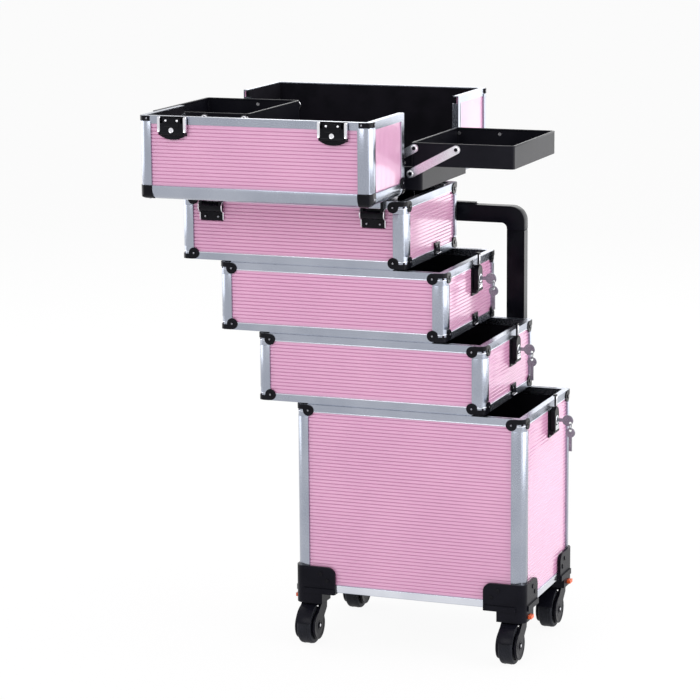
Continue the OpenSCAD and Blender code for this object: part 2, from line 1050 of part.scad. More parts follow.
// Lid half of a hinge, at its x
module lid_hinge(x) {
    knuckle_w = hinge_w - 2 * 4 - 2 * run_gap;
    axis_z = hinge_z - lid_z;
    translate([x, -case_d / 2, 0]) {
        translate([-hinge_w / 2, -0.5, rail_h + run_gap])
            cube([hinge_w, skin_in + 0.5, 28]);
        difference() {
            union() {
                translate([0, -hinge_out, axis_z])
                    rotate([0, 90, 0])
                        cylinder(r = hinge_knuckle_r, h = knuckle_w, center = true);
                translate([-knuckle_w / 2, -hinge_out - 1, axis_z])
                    cube([knuckle_w, 3, rail_h - axis_z + 4]);
                translate([-knuckle_w / 2, -hinge_out - 1, rail_h + 1])
                    cube([knuckle_w, hinge_out + 1, 3]);
            }
            translate([0, -hinge_out, axis_z])
                rotate([0, 90, 0])
                    cylinder(r = hinge_pin_r + pin_gap, h = hinge_w, center = true);
        }
        for (s = [-1, 1], z = [rail_h + 10, rail_h + 22])
            translate([0, -0.5, 0])
                rivet(s * (hinge_w / 2 - 7), z);
    }
}

module lid_fittings() {
    for (s = [-1, 1])
        mirror([s > 0 ? 1 : 0, 0, 0]) {
            translate([-case_w / 2, -case_d / 2, lid_h])
                lid_cap();
            translate([-case_w / 2, 0, lid_h])
                split_brace();
            translate([-case_w / 2, -case_d / 2, 0])
                brace(0.2, ear_r + 0.6);
        }
    for (x = [-1, 1])
        lid_hinge(x * hinge_x);
}

// Ears and plate of a lid latch, on the top face of the front lid, at its x
module lid_latch_base(x) {
    ear_t = 2.4;
    plate_t = 1;
    plate_w = lid_latch_w + 2 * (ear_t + run_gap);
    lobe_d = 6;
    lobe_t = 4;
    lobe_r = (pow(plate_w / 2, 2) + pow(lobe_d, 2)) / (2 * lobe_d);
    translate([x, -run_gap - lid_latch_h, lid_h]) {
        translate([-plate_w / 2, 0, 0])
            cube([plate_w, lid_latch_h, plate_t]);
        translate([-plate_w / 2, 0, -skin_in])
            cube([plate_w, lid_latch_h - rail_h - run_gap, skin_in]);
        translate([0, 0, -skin_in])
            linear_extrude(skin_in + lobe_t)
                intersection() {
                    translate([0, lobe_r - lobe_d])
                        circle(lobe_r);
                    translate([-plate_w / 2, -lobe_d])
                        square([plate_w, lobe_d - run_gap]);
                }
        translate([-plate_w / 2, -run_gap - 0.5, -skin_in])
            cube([plate_w, 1, skin_in + plate_t]);
        for (s = [-1, 1])
            translate([s * (plate_w - ear_t) / 2 - ear_t / 2, 3, 0]) {
                translate([0, 0, lid_pin_z])
                    rotate([0, 90, 0])
                        cylinder(r = 3, h = ear_t);
                translate([0, -3, 0])
                    cube([ear_t, lid_latch_h - 6, lid_pin_z]);
            }
        translate([-plate_w / 2, 3, lid_pin_z])
            rotate([0, 90, 0])
                cylinder(r = lid_pin_r, h = plate_w);
    }
}

module lid_latch(x) {
    under = 1 + run_gap;
    color(black)
        front_place()
            translate([x, -run_gap - lid_latch_h + 3, lid_h])
                difference() {
                    union() {
                        translate([-lid_latch_w / 2, 0, under])
                            cube([lid_latch_w, lid_latch_h - 5, lid_latch_t]);
                        translate([0, 0, lid_pin_z])
                            rotate([0, 90, 0])
                                cylinder(r = lid_pin_z - under, h = lid_latch_w, center = true);
                    }
                    translate([0, 0, lid_pin_z])
                        rotate([0, 90, 0])
                            cylinder(r = lid_pin_r + pin_gap, h = 2 * lid_latch_w, center = true);
                    translate([-tongue_w / 2 - 1, lid_latch_h - 5 - tongue_out, 0])
                        cube([tongue_w + 2, 2 * tongue_out, under + tongue_t + 2 * run_gap]);
                    for (s = [-1, 1])
                        translate([s * lid_latch_w / 2 - 4, lid_latch_h - 12, -1])
                            cube([8, 12, 2 * lid_latch_t]);
                }
}

// Strike plate and tongue of a lid latch, on the top face of the back lid, at its x
module strike(x) {
    translate([x - tongue_w, -run_gap - 9, lid_h])
        cube([2 * tongue_w, 9, 1]);
    translate([x - tongue_w / 2, -run_gap - 9, lid_h + 1])
        cube([tongue_w, 9 + tongue_out, tongue_t]);
}

module front_lid_shell() {
    color(black)
        front_place()
            lid_shell();
}

module front_lid_panels() {
    color(pink)
        front_place()
            lid_panels();
}

module front_lid_frame() {
    color(silver)
        front_place()
            lid_frame();
}

module front_lid_fittings() {
    color(black)
        front_place() {
            lid_fittings();
            for (x = [-1, 1])
                lid_latch_base(x * lid_latch_x);
        }
}

module back_lid_shell() {
    color(black)
        back_place()
            lid_shell();
}

module back_lid_panels() {
    color(pink)
        back_place()
            lid_panels();
}

module back_lid_frame() {
    color(silver)
        back_place()
            lid_frame();
}

module back_lid_fittings() {
    color(black)
        back_place() {
            lid_fittings();
            for (x = [-1, 1])
                strike(x * lid_latch_x);
        }
}

module left_lid_latch() {
    lid_latch(-lid_latch_x);
}

module right_lid_latch() {
    lid_latch(lid_latch_x);
}

// Cantilever trays. A lean is positive outwards, and side is 1 on the right and -1 on the left

module low_place(side, lean) {
    lift = short_arm_len * (cos(lean) - cos(short_arm_lean));
    translate([side * (short_arm_len * sin(lean) + short_swing), 0, lift])
        children();
}

module high_place(side, low_lean, lean) {
    lift = arm_len * (cos(lean) - cos(arm_lean));
    low_place(side, low_lean)
        translate([side * (arm_len * sin(lean) + long_swing), 0, lift])
            children();
}

// An open tray with its floor at z, pivot bores on both ends at the given places
module tray(side, z, bores) {
    difference() {
        translate([side * (tray_out_x - tray_w / 2), 0, z])
            difference() {
                linear_extrude(tray_h)
                    round_rect(tray_w, tray_d, tray_r);
                translate([0, 0, tray_t])
                    linear_extrude(tray_h)
                        round_rect(tray_w - 2 * tray_t, tray_d - 2 * tray_t, tray_r - tray_t);
            }
        for (b = bores, s = [-1, 1])
            translate([side * b[0], s * (tray_d / 2 - tray_t / 2), b[1]])
                rotate([90, 0, 0])
                    cylinder(r = pin_r + pin_gap, h = 2 * tray_t, center = true);
    }
}

SHORT_BORES = [for (i = [0, 1]) [short_pivot_x - i * arm_pitch, short_pivot_z]];
LONG_BORES = [for (i = [0, 1]) [long_pivot_x - i * arm_pitch, long_pivot_z]];
HIGH_BORES = [
    for (i = [0, 1])
        [long_pivot_x - i * arm_pitch - long_swing, long_pivot_z + arm_len * cos(arm_lean)],
];

// Front and rear arm of one pair, from the lower pivot [x, z], leaning outwards by lean.
// Their upper pins reach into the tray above, the lower pins by drop into what carries them
module arms(side, len, at, lean, drop_out) {
    color(steel)
        for (s = [-1, 1])
            translate([side * at[0], s * arm_y, at[1]])
                mirror([side < 0 ? 1 : 0, 0, 0])
                    rotate([0, lean, 0])
                        mirror([0, s > 0 ? 1 : 0, 0]) {
                            translate([0, -arm_t, 0]) {
                                translate([-arm_w / 2, 0, 0])
                                    cube([arm_w, arm_t, len]);
                                for (z = [0, len])
                                    translate([0, arm_t, z])
                                        rotate([90, 0, 0])
                                            cylinder(r = arm_w / 2, h = arm_t);
                            }
                            // Upper pin and its head
                            translate([0, tray_t + run_gap - 0.1, len])
                                rotate([90, 0, 0])
                                    cylinder(r = pin_r, h = tray_t + run_gap);
                            translate([0, -arm_t, len])
                                rotate([90, 0, 0])
                                    cylinder(r1 = collar_r, r2 = collar_r - 1, h = pin_head);
                            // Lower pin, inwards to a tray or outwards to the wall of the base
                            if (drop_out) {
                                rotate([90, 0, 0]) {
                                    cylinder(r = pin_r, h = tray_end_gap + 2.5);
                                    cylinder(r = collar_r, h = tray_end_gap - 2 * run_gap);
                                }
                            } else {
                                translate([0, tray_t + run_gap - 0.1, 0])
                                    rotate([90, 0, 0])
                                        cylinder(r = pin_r, h = tray_t + run_gap);
                                translate([0, -arm_t, 0])
                                    rotate([90, 0, 0])
                                        cylinder(r1 = collar_r, r2 = collar_r - 1, h = pin_head);
                            }
                        }
}

// Lower pivots of the short arms on the base, for the outer (0) and inner (1) pair
function short_foot(i) = [
    short_pivot_x - i * arm_pitch + short_swing,
    short_pivot_z - short_arm_len * cos(short_arm_lean),
];

module short_arms(side, i, lean) {
    top_place()
        arms(side, short_arm_len, short_foot(i), lean, true);
}

module long_arms(side, i, low_lean, lean) {
    top_place()
        low_place(side, low_lean)
            arms(side, arm_len, LONG_BORES[i], lean, false);
}

module low_tray(side, low_lean) {
    color(black)
        top_place()
            low_place(side, low_lean)
                tray(side, low_tray_z, concat(SHORT_BORES, LONG_BORES));
}

module high_tray(side, low_lean, lean) {
    color(black)
        top_place()
            high_place(side, low_lean, lean)
                tray(side, high_tray_z, HIGH_BORES);
}

module right_lower_tray() {
    low_tray(1, short_arm_lean);
}

module right_upper_tray() {
    high_tray(1, short_arm_lean, arm_lean);
}

module left_lower_tray() {
    low_tray(-1, short_arm_lean);
}

module left_upper_tray() {
    high_tray(-1, short_arm_lean, -left_lean);
}

module right_short_outer_arms() {
    short_arms(1, 0, short_arm_lean);
}

module right_short_inner_arms() {
    short_arms(1, 1, short_arm_lean);
}

module right_long_outer_arms() {
    long_arms(1, 0, short_arm_lean, arm_lean);
}

module right_long_inner_arms() {
    long_arms(1, 1, short_arm_lean, arm_lean);
}

module left_short_outer_arms() {
    short_arms(-1, 0, short_arm_lean);
}

module left_short_inner_arms() {
    short_arms(-1, 1, short_arm_lean);
}

module left_long_outer_arms() {
    long_arms(-1, 0, short_arm_lean, -left_lean);
}

module left_long_inner_arms() {
    long_arms(-1, 1, short_arm_lean, -left_lean);
}

// Telescopic handle

module handle_tubes() {
    tube_z = housing_z + 2 + handle_out;
    color(black)
        for (x = [-1, 1])
            translate([x * tube_pitch / 2, tube_y, tube_z])
                difference() {
                    translate([-tube_w / 2, -tube_d / 2, 0])
                        cube([tube_w, tube_d, tube_len]);
                    translate([-tube_w / 2 + tube_wall, -tube_d / 2 + tube_wall, -1])
                        cube([tube_w - 2 * tube_wall, tube_d - 2 * tube_wall, tube_len + 2]);
                }
}

// Outline of the grip, standing on y = 0
module grip_plan() {
    top = grip_leg + grip_h;
    gap_x = (tube_pitch - tube_w) / 2;
    curve = 8;
    difference() {
        intersection() {
            union() {
                for (x = [-1, 1])
                    translate([x * (grip_w / 2 - grip_r), top - grip_r])
                        circle(grip_r);
                translate([-grip_w / 2 + grip_r, 0])
                    square([grip_w - 2 * grip_r, top]);
                translate([-grip_w / 2, 0])
                    square([grip_w, top - grip_r]);
            }
            translate([-grip_w / 2, 0])
                square([grip_w, top]);
        }
        translate([-gap_x + curve, -1])
            square([2 * gap_x - 2 * curve, grip_leg + 1]);
        translate([-gap_x, -1])
            square([2 * gap_x, grip_leg + 1 - curve]);
        for (x = [-1, 1])
            translate([x * (gap_x - curve), grip_leg - curve])
                circle(curve);
    }
}

module handle_grip() {
    bar_w = tube_w - 2 * tube_wall - 2 * run_gap;
    bar_d = tube_d - 2 * tube_wall - 2 * run_gap;
    color(black)
        difference() {
            union() {
                translate([0, tube_y + grip_t / 2, grip_z])
                    rotate([90, 0, 0])
                        linear_extrude(grip_t)
                            grip_plan();
                for (x = [-tube_pitch / 2, tube_pitch / 2])
                    translate([x - bar_w / 2, tube_y - bar_d / 2, grip_z - tube_len + 15])
                        cube([bar_w, bar_d, tube_len - 14]);
            }
            translate([
                -button_w / 2 - run_gap,
                tube_y - button_d / 2 - run_gap,
                grip_z + grip_leg + grip_h - button_h - 2,
            ])
                cube([button_w + 2 * run_gap, button_d + 2 * run_gap, button_h + 3]);
        }
}

module handle_button() {
    color(black)
        translate([0, tube_y, grip_z + grip_leg + grip_h + button_up - button_h])
            linear_extrude(button_h)
                round_rect(button_w, button_d, 4);
}

// Casters, with the wheel trailing towards the front

module caster_place(side) {
    translate([side[0] * (case_w / 2 - caster_inset), side[1] * (case_d / 2 - caster_inset), floor_z])
        children();
}

module fork(side) {
    half = wheel_w / 2 + cheek_gap;
    top_t = 3;
    cheek_r = 13;
    color(black)
        caster_place(side) {
            translate([0, 0, fork_top - 1])
                cylinder(r = stem_r, h = run_gap + collar_h + foot_h - 3);
            translate([0, 0, fork_top - top_t])
                cylinder(r = collar_out_r, h = top_t);
            for (x = [-half - cheek_t, half])
                translate([x, 0, 0])
                    rotate([90, 0, 90])
                        linear_extrude(cheek_t) {
                            polygon([
                                [-10, fork_top],
                                [10, fork_top],
                                [9, fork_top - 12],
                                [-caster_trail + cheek_r - 1, axle_z + 4],
                                [-caster_trail - cheek_r, axle_z],
                                [-caster_trail - cheek_r + 2, axle_z + 14],
                            ]);
                            translate([-caster_trail, axle_z])
                                circle(cheek_r);
                        }
            translate([-half - cheek_t - 1, -caster_trail, axle_z])
                rotate([0, 90, 0])
                    cylinder(r = axle_r, h = 2 * (half + cheek_t + 1));
        }
}

module wheel(side) {
    tread_r = 3;
    hub_in = 2.5;
    hub_r = 12;
    color(black)
        caster_place(side)
            translate([0, -caster_trail, axle_z])
                rotate([0, 90, 0])
                    rotate_extrude($fn = 72)
                        difference() {
                            union() {
                                translate([axle_r + pin_gap, -wheel_w / 2])
                                    square([wheel_d / 2 - axle_r - pin_gap - tread_r, wheel_w]);
                                translate([wheel_d / 2 - tread_r - 1, -wheel_w / 2 + tread_r])
                                    square([tread_r + 1, wheel_w - 2 * tread_r]);
                                for (y = [-1, 1])
                                    translate([wheel_d / 2 - tread_r, y * (wheel_w / 2 - tread_r)])
                                        circle(tread_r);
                            }
                            for (y = [-1, 1])
                                translate([hub_r, y * wheel_w / 2 - hub_in])
                                    square([wheel_d / 2 - hub_r - 6, 2 * hub_in]);
                        }
}

bin_shell();
bin_panels();
bin_frame();
bin_fittings();
bin_mouldings();
lower_tier_shell();
lower_tier_panels();
lower_tier_frame();
lower_tier_fittings();
upper_tier_shell();
upper_tier_panels();
upper_tier_frame();
upper_tier_fittings();
top_base_shell();
top_base_panels();
top_base_frame();
top_base_fittings();
front_lid_shell();
front_lid_panels();
front_lid_frame();
front_lid_fittings();
back_lid_shell();
back_lid_panels();
back_lid_frame();
back_lid_fittings();
right_lower_tray();
right_upper_tray();
left_lower_tray();
left_upper_tray();
right_short_outer_arms();
right_short_inner_arms();
right_long_outer_arms();
right_long_inner_arms();
left_short_outer_arms();
left_short_inner_arms();
left_long_outer_arms();
left_long_inner_arms();
handle_tubes();
handle_grip();
handle_button();
fork(SIDES[0]);  // fork_front_left
fork(SIDES[1]);  // fork_front_right
fork(SIDES[2]);  // fork_rear_left
fork(SIDES[3]);  // fork_rear_right
wheel(SIDES[0]);  // wheel_front_left
wheel(SIDES[1]);  // wheel_front_right
wheel(SIDES[2]);  // wheel_rear_left
wheel(SIDES[3]);  // wheel_rear_right
release_tab(SIDES[0]);  // tab_front_left
release_tab(SIDES[1]);  // tab_front_right
release_tab(SIDES[2]);  // tab_rear_left
release_tab(SIDES[3]);  // tab_rear_right
latch(0);  // bin_latch
latch(1);  // lower_tier_latch
latch(2);  // upper_tier_latch
key(0);  // bin_key
key(1);  // lower_tier_key
key(2);  // upper_tier_key
left_lid_latch();
right_lid_latch();
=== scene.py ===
import json
import math

import bmesh
import bpy
from mathutils import Matrix, Vector


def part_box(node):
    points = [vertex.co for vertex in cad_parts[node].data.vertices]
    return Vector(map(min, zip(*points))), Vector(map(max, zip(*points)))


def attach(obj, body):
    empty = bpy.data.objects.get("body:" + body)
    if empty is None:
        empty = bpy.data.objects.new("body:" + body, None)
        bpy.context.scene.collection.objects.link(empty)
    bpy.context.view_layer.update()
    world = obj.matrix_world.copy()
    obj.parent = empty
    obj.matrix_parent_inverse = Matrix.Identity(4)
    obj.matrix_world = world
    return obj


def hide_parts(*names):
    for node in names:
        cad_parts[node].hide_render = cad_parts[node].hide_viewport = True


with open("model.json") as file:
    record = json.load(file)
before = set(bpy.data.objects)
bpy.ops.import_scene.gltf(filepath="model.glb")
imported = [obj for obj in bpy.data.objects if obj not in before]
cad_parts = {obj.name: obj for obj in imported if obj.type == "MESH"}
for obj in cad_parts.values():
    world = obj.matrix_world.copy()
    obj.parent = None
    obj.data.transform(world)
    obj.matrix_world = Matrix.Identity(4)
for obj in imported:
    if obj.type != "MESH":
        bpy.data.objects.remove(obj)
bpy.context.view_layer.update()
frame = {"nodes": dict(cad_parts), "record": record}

nodes = frame["nodes"]

# Sizes of the CAD nodes in metres: boxes, and how far each is pulled out
CASE_W, CASE_D = 0.340, 0.230
HALF_W, HALF_D = CASE_W / 2, CASE_D / 2
BIN_H, TIER_H, BASE_H, LID_H = 0.275, 0.098, 0.096, 0.135
STACK_GAP, PULL = 0.002, 0.058
FLOOR_Z = -0.0777
# Rails, uprights and corner braces
RIM, EDGE_R, EDGE_W = 0.011, 0.009, 0.018
BRACE, BRACE_H, EAR_IN, EAR_DROP = 0.0013, 0.007, 0.018, 0.0086
# Hinges of the half lids, the seats of the closed lids, and the split between them
HINGE_OUT, HINGE_X, HINGE_W, DRUM_R = 0.006, 0.123, 0.034, 0.0075
HINGE_Y = HALF_D + HINGE_OUT
HINGE_Z = BASE_H + 0.004
LID_Z = BASE_H + 0.0005
SPLIT, SPLIT_BRACE_BACK = 0.0003, 0.0003
# Lid latches, with how far they stand over the split, and side latches
LID_LATCH_X, LID_LATCH_W, LID_LATCH_H, LID_LATCH_OVER = 0.118, 0.034, 0.026, 0.003
LATCH_Y, SIDE_LATCH_H, SIDE_LATCH_TOP, PLUG_Z = 0.020, 0.036, 0.008, 0.017
# How far outer faces stand out from the case or from the top of the lid
CAP_FACE, LEAF_FACE, CATCH_FACE = 0.0013, 0.0005, 0.0015
LATCH_FACE, HOOK_FACE, LID_LATCH_FACE = 0.0081, 0.0070, 0.0073
# How deep trim pieces sit in the node under them
SEAT = 0.0002
# Caster mouldings and wheels, trays and their arms
MOULD = 0.004
WHEEL_R, WHEEL_W = 0.027, 0.020
TRAY_R, TRAY_T = 0.005, 0.0025
ARM_FACE = 0.1023
# Handle tubes and their guides
TUBE_X, TUBE_Y, TUBE_W, TUBE_D, HOUSING_T = 0.080, 0.139, 0.027, 0.016, 0.003

# Where each box stands, and how a closed half lid is turned open
LEVELS = (
    0.0,
    BIN_H + STACK_GAP,
    BIN_H + TIER_H + 2 * STACK_GAP,
    BIN_H + 2 * TIER_H + 3 * STACK_GAP,
)
BOXES = ("bin", "lower_tier", "upper_tier", "top_base")
LIDS = ("front_lid", "back_lid")
PLACE = {name: Matrix.Translation((-i * PULL, 0, LEVELS[i])) for i, name in enumerate(BOXES)}
HEIGHT = {"bin": BIN_H, "lower_tier": TIER_H, "upper_tier": TIER_H, "top_base": BASE_H}
OPENED = (
    Matrix.Translation((0, -HINGE_Y, HINGE_Z))
    @ Matrix.Rotation(math.radians(90), 4, "X")
    @ Matrix.Translation((0, HINGE_Y, LID_Z - HINGE_Z))
)
PLACE["front_lid"] = PLACE["top_base"] @ OPENED
PLACE["back_lid"] = PLACE["top_base"] @ Matrix.Rotation(math.radians(180), 4, "Z") @ OPENED
JOINTS = frame["record"]["behaviour"]["joints"]
PIVOT = {joint["name"]: Vector(joint["pos_m"]) for joint in JOINTS if "pos_m" in joint}
SIDES = (-1, 1)


# Materials

NARROW, WIDE = (0.35, 0.65), (0.3, 0.7)
GRAIN_SHARE = 0.35
COAT_ROUGHNESS = 0.12


def surface_group():
    """Two soft tones with a fine grain, for colour, roughness and bump."""
    group = bpy.data.node_groups.new("Surface tones", "ShaderNodeTree")
    face = group.interface
    for name, kind in (
        ("Main Colour", "NodeSocketColor"),
        ("Second Colour", "NodeSocketColor"),
        ("Patch Scale", "NodeSocketFloat"),
        ("Grain Scale", "NodeSocketFloat"),
        ("Low Roughness", "NodeSocketFloat"),
        ("High Roughness", "NodeSocketFloat"),
    ):
        face.new_socket(name, in_out="INPUT", socket_type=kind)
    face.new_socket("Colour", in_out="OUTPUT", socket_type="NodeSocketColor")
    face.new_socket("Roughness", in_out="OUTPUT", socket_type="NodeSocketFloat")
    face.new_socket("Height", in_out="OUTPUT", socket_type="NodeSocketFloat")
    n, link = group.nodes, group.links
    gin, gout = n.new("NodeGroupInput"), n.new("NodeGroupOutput")
    where = n.new("ShaderNodeTexCoord")
    patch, grain = n.new("ShaderNodeTexNoise"), n.new("ShaderNodeTexNoise")
    patch.inputs["Detail"].default_value = 3
    grain.inputs["Detail"].default_value = 4
    link.new(where.outputs["Object"], patch.inputs["Vector"])
    link.new(where.outputs["Object"], grain.inputs["Vector"])
    link.new(gin.outputs["Patch Scale"], patch.inputs["Scale"])
    link.new(gin.outputs["Grain Scale"], grain.inputs["Scale"])
    soft = n.new("ShaderNodeMapRange")
    soft.inputs["From Min"].default_value, soft.inputs["From Max"].default_value = NARROW
    link.new(patch.outputs["Fac"], soft.inputs["Value"])
    both = n.new("ShaderNodeMath")
    both.operation = "MULTIPLY_ADD"
    both.use_clamp = True
    both.inputs[1].default_value = GRAIN_SHARE
    link.new(grain.outputs["Fac"], both.inputs[0])
    link.new(soft.outputs["Result"], both.inputs[2])
    mix = n.new("ShaderNodeMix")
    mix.data_type = "RGBA"
    link.new(both.outputs["Value"], mix.inputs["Factor"])
    link.new(gin.outputs["Main Colour"], mix.inputs["A"])
    link.new(gin.outputs["Second Colour"], mix.inputs["B"])
    rough = n.new("ShaderNodeMapRange")
    link.new(grain.outputs["Fac"], rough.inputs["Value"])
    rough.inputs["From Min"].default_value, rough.inputs["From Max"].default_value = WIDE
    link.new(gin.outputs["Low Roughness"], rough.inputs["To Min"])
    link.new(gin.outputs["High Roughness"], rough.inputs["To Max"])
    link.new(mix.outputs["Result"], gout.inputs["Colour"])
    link.new(rough.outputs["Result"], gout.inputs["Roughness"])
    link.new(grain.outputs["Fac"], gout.inputs["Height"])
    return group


TONES = surface_group()


def finish_of(
    name, main, second, patch, grain, rough, bump,
    metallic=0.0, coat=0.0, specular=0.5, gloss=1.5,
):
    """A material of two tones in soft patches, with a grain that is bump metres high."""
    made = bpy.data.materials.new(name)
    made.use_nodes = True
    n, link = made.node_tree.nodes, made.node_tree.links
    skin = n["Principled BSDF"]
    tones = n.new("ShaderNodeGroup")
    tones.node_tree = TONES
    tones.inputs["Main Colour"].default_value = (*main, 1)
    tones.inputs["Second Colour"].default_value = (*second, 1)
    tones.inputs["Patch Scale"].default_value = patch
    tones.inputs["Grain Scale"].default_value = grain
    tones.inputs["Low Roughness"].default_value = rough[0]
    tones.inputs["High Roughness"].default_value = rough[1]
    link.new(tones.outputs["Colour"], skin.inputs["Base Color"])
    link.new(tones.outputs["Roughness"], skin.inputs["Roughness"])
    lift = n.new("ShaderNodeBump")
    lift.inputs["Distance"].default_value = bump
    link.new(tones.outputs["Height"], lift.inputs["Height"])
    link.new(lift.outputs["Normal"], skin.inputs["Normal"])
    skin.inputs["Metallic"].default_value = metallic
    skin.inputs["Coat Weight"].default_value = coat
    skin.inputs["Coat IOR"].default_value = gloss
    skin.inputs["Coat Roughness"].default_value = COAT_ROUGHNESS
    skin.inputs["Specular IOR Level"].default_value = specular
    return made


PINK = finish_of(
    "Pink ribbed skin", (0.72, 0.365, 0.56), (0.68, 0.335, 0.53),
    patch=9, grain=900, rough=(0.32, 0.42), bump=0.00002, coat=0.9, specular=0.3, gloss=1.8,
)
ALUMINIUM = finish_of(
    "Satin aluminium", (0.40, 0.425, 0.49), (0.33, 0.355, 0.42),
    patch=14, grain=1400, rough=(0.20, 0.30), bump=0.000003, metallic=1.0,
)
# A lighter copy of the aluminium for the rail lips and the bin's foot rail, a painted highlight
PAINTED_HIGHLIGHT_ALUMINIUM = finish_of(
    "Aluminium lightened as painted highlight", (0.72, 0.74, 0.80), (0.62, 0.64, 0.71),
    patch=14, grain=1400, rough=(0.14, 0.22), bump=0.000006, metallic=1.0,
)
LINING = finish_of(
    "Black lining", (0.005, 0.005, 0.007), (0.010, 0.009, 0.013),
    patch=30, grain=2600, rough=(0.8, 0.95), bump=0.00006, specular=0.05,
)
BLACK_METAL = finish_of(
    "Black coated steel", (0.003, 0.003, 0.005), (0.006, 0.006, 0.009),
    patch=40, grain=1200, rough=(0.14, 0.24), bump=0.00001, specular=0.1,
)
BLACK_PLASTIC = finish_of(
    "Black moulded plastic", (0.003, 0.003, 0.006), (0.006, 0.006, 0.010),
    patch=25, grain=1800, rough=(0.26, 0.36), bump=0.00002, specular=0.08,
)
TRAY_BLACK = finish_of(
    "Black tray plastic", (0.004, 0.004, 0.007), (0.008, 0.008, 0.012),
    patch=18, grain=1500, rough=(0.30, 0.40), bump=0.00002, specular=0.08,
)
STEEL = finish_of(
    "Plated steel", (0.78, 0.78, 0.81), (0.68, 0.68, 0.72),
    patch=30, grain=1500, rough=(0.2, 0.34), bump=0.00001, metallic=1.0,
)
CHROME = finish_of(
    "Bright nickel", (0.80, 0.80, 0.84), (0.70, 0.70, 0.75),
    patch=40, grain=900, rough=(0.08, 0.18), bump=0.000005, metallic=1.0,
)
KEY_STEEL = finish_of(
    "Key steel", (0.30, 0.31, 0.34), (0.20, 0.21, 0.24),
    patch=60, grain=1200, rough=(0.20, 0.32), bump=0.00001, metallic=0.75,
)
DARK_NICKEL = finish_of(
    "Dark nickel", (0.30, 0.30, 0.33), (0.22, 0.22, 0.25),
    patch=40, grain=900, rough=(0.06, 0.14), bump=0.000005, metallic=1.0,
)
RUBBER = finish_of(
    "Grey rubber tread", (0.008, 0.009, 0.013), (0.014, 0.015, 0.021),
    patch=35, grain=1300, rough=(0.45, 0.6), bump=0.00005, specular=0.14,
)
ORANGE = finish_of(
    "Orange plastic", (0.80, 0.13, 0.03), (0.70, 0.10, 0.022),
    patch=60, grain=1500, rough=(0.3, 0.4), bump=0.00002,
)

# Largest normal component at which the painted groove shade starts, and at which it is full
FLAT, SLANTED = 0.95, 0.85


def paint_groove_shade(material, shade):
    """Paints shade into the colour of the slanted sides of the grooves, which look along no main
    axis.
    """
    n, link = material.node_tree.nodes, material.node_tree.links
    skin = n["Principled BSDF"]
    colour = skin.inputs["Base Color"].links[0].from_socket
    where, size = n.new("ShaderNodeTexCoord"), n.new("ShaderNodeVectorMath")
    parts = n.new("ShaderNodeSeparateXYZ")
    size.operation = "ABSOLUTE"
    link.new(where.outputs["Normal"], size.inputs[0])
    link.new(size.outputs["Vector"], parts.inputs[0])
    most = [n.new("ShaderNodeMath") for _ in range(2)]
    for one in most:
        one.operation = "MAXIMUM"
    link.new(parts.outputs["X"], most[0].inputs[0])
    link.new(parts.outputs["Y"], most[0].inputs[1])
    link.new(most[0].outputs["Value"], most[1].inputs[0])
    link.new(parts.outputs["Z"], most[1].inputs[1])
    slant = n.new("ShaderNodeMapRange")
    slant.inputs["From Min"].default_value, slant.inputs["From Max"].default_value = FLAT, SLANTED
    link.new(most[1].outputs["Value"], slant.inputs["Value"])
    mix = n.new("ShaderNodeMix")
    mix.data_type = "RGBA"
    mix.blend_type = "MULTIPLY"
    mix.inputs["B"].default_value = (*shade, 1)
    link.new(slant.outputs["Result"], mix.inputs["Factor"])
    link.new(colour, mix.inputs["A"])
    link.new(mix.outputs["Result"], skin.inputs["Base Color"])


# Painted shade on the slanted groove sides of the pink skin, multiplied into its colour
paint_groove_shade(PINK, (0.80, 0.70, 0.76))

FINISHES = {
    "shell": LINING, "panels": PINK, "frame": ALUMINIUM, "fittings": BLACK_METAL,
    "mouldings": BLACK_PLASTIC, "tray": TRAY_BLACK, "arms": STEEL, "tubes": BLACK_METAL,
    "grip": BLACK_PLASTIC, "button": TRAY_BLACK, "latch": BLACK_METAL, "key": KEY_STEEL,
    "fork": BLACK_PLASTIC, "wheel": RUBBER, "tab": ORANGE,
}
for name, part in nodes.items():
    words = name.split("_")
    word = words[0] if words[0] in ("fork", "wheel", "tab") else words[-1]
    part.data.materials.clear()
    part.data.materials.append(FINISHES[word])


# Modelling helpers

# Degrees from which an edge is sharp, and how squarely a face looks in a direction
SHARP, FACING = 50, 0.9
# Metres within which two places, or two corners of a merged mesh, are one
NEAR, MERGE = 0.00001, 0.000002
UP, DOWN = (0, 0, 1), (0, 0, -1)
WAYS = ((1, 0, 0), (-1, 0, 0), (0, 1, 0), (0, -1, 0), UP, DOWN)


def nothing_selected():
    if bpy.context.object and bpy.context.object.mode != "OBJECT":
        bpy.ops.object.mode_set(mode="OBJECT")
    bpy.ops.object.select_all(action="DESELECT")


def only(piece):
    nothing_selected()
    piece.select_set(True)
    bpy.context.view_layer.objects.active = piece
    return piece


def edit(piece):
    """Opens a piece in edit mode with all of it selected."""
    only(piece)
    bpy.ops.object.mode_set(mode="EDIT")
    bpy.ops.mesh.select_all(action="SELECT")


def pick_faces(piece, direction):
    """Selects the faces of the piece in edit mode that look in the direction."""
    bpy.ops.mesh.select_mode(type="FACE")
    mesh = bmesh.from_edit_mesh(piece.data)
    aim = Vector(direction)
    for face in mesh.faces:
        face.select_set(face.normal.dot(aim) > FACING)
    bmesh.update_edit_mesh(piece.data)


def pick_edges(piece, wanted):
    """Selects the edges of the piece in edit mode for which wanted(one end, other end) is true."""
    bpy.ops.mesh.select_mode(type="EDGE")
    bpy.ops.mesh.select_all(action="DESELECT")
    mesh = bmesh.from_edit_mesh(piece.data)
    for line in mesh.edges:
        line.select_set(wanted(line.verts[0].co, line.verts[1].co))
    bmesh.update_edit_mesh(piece.data)


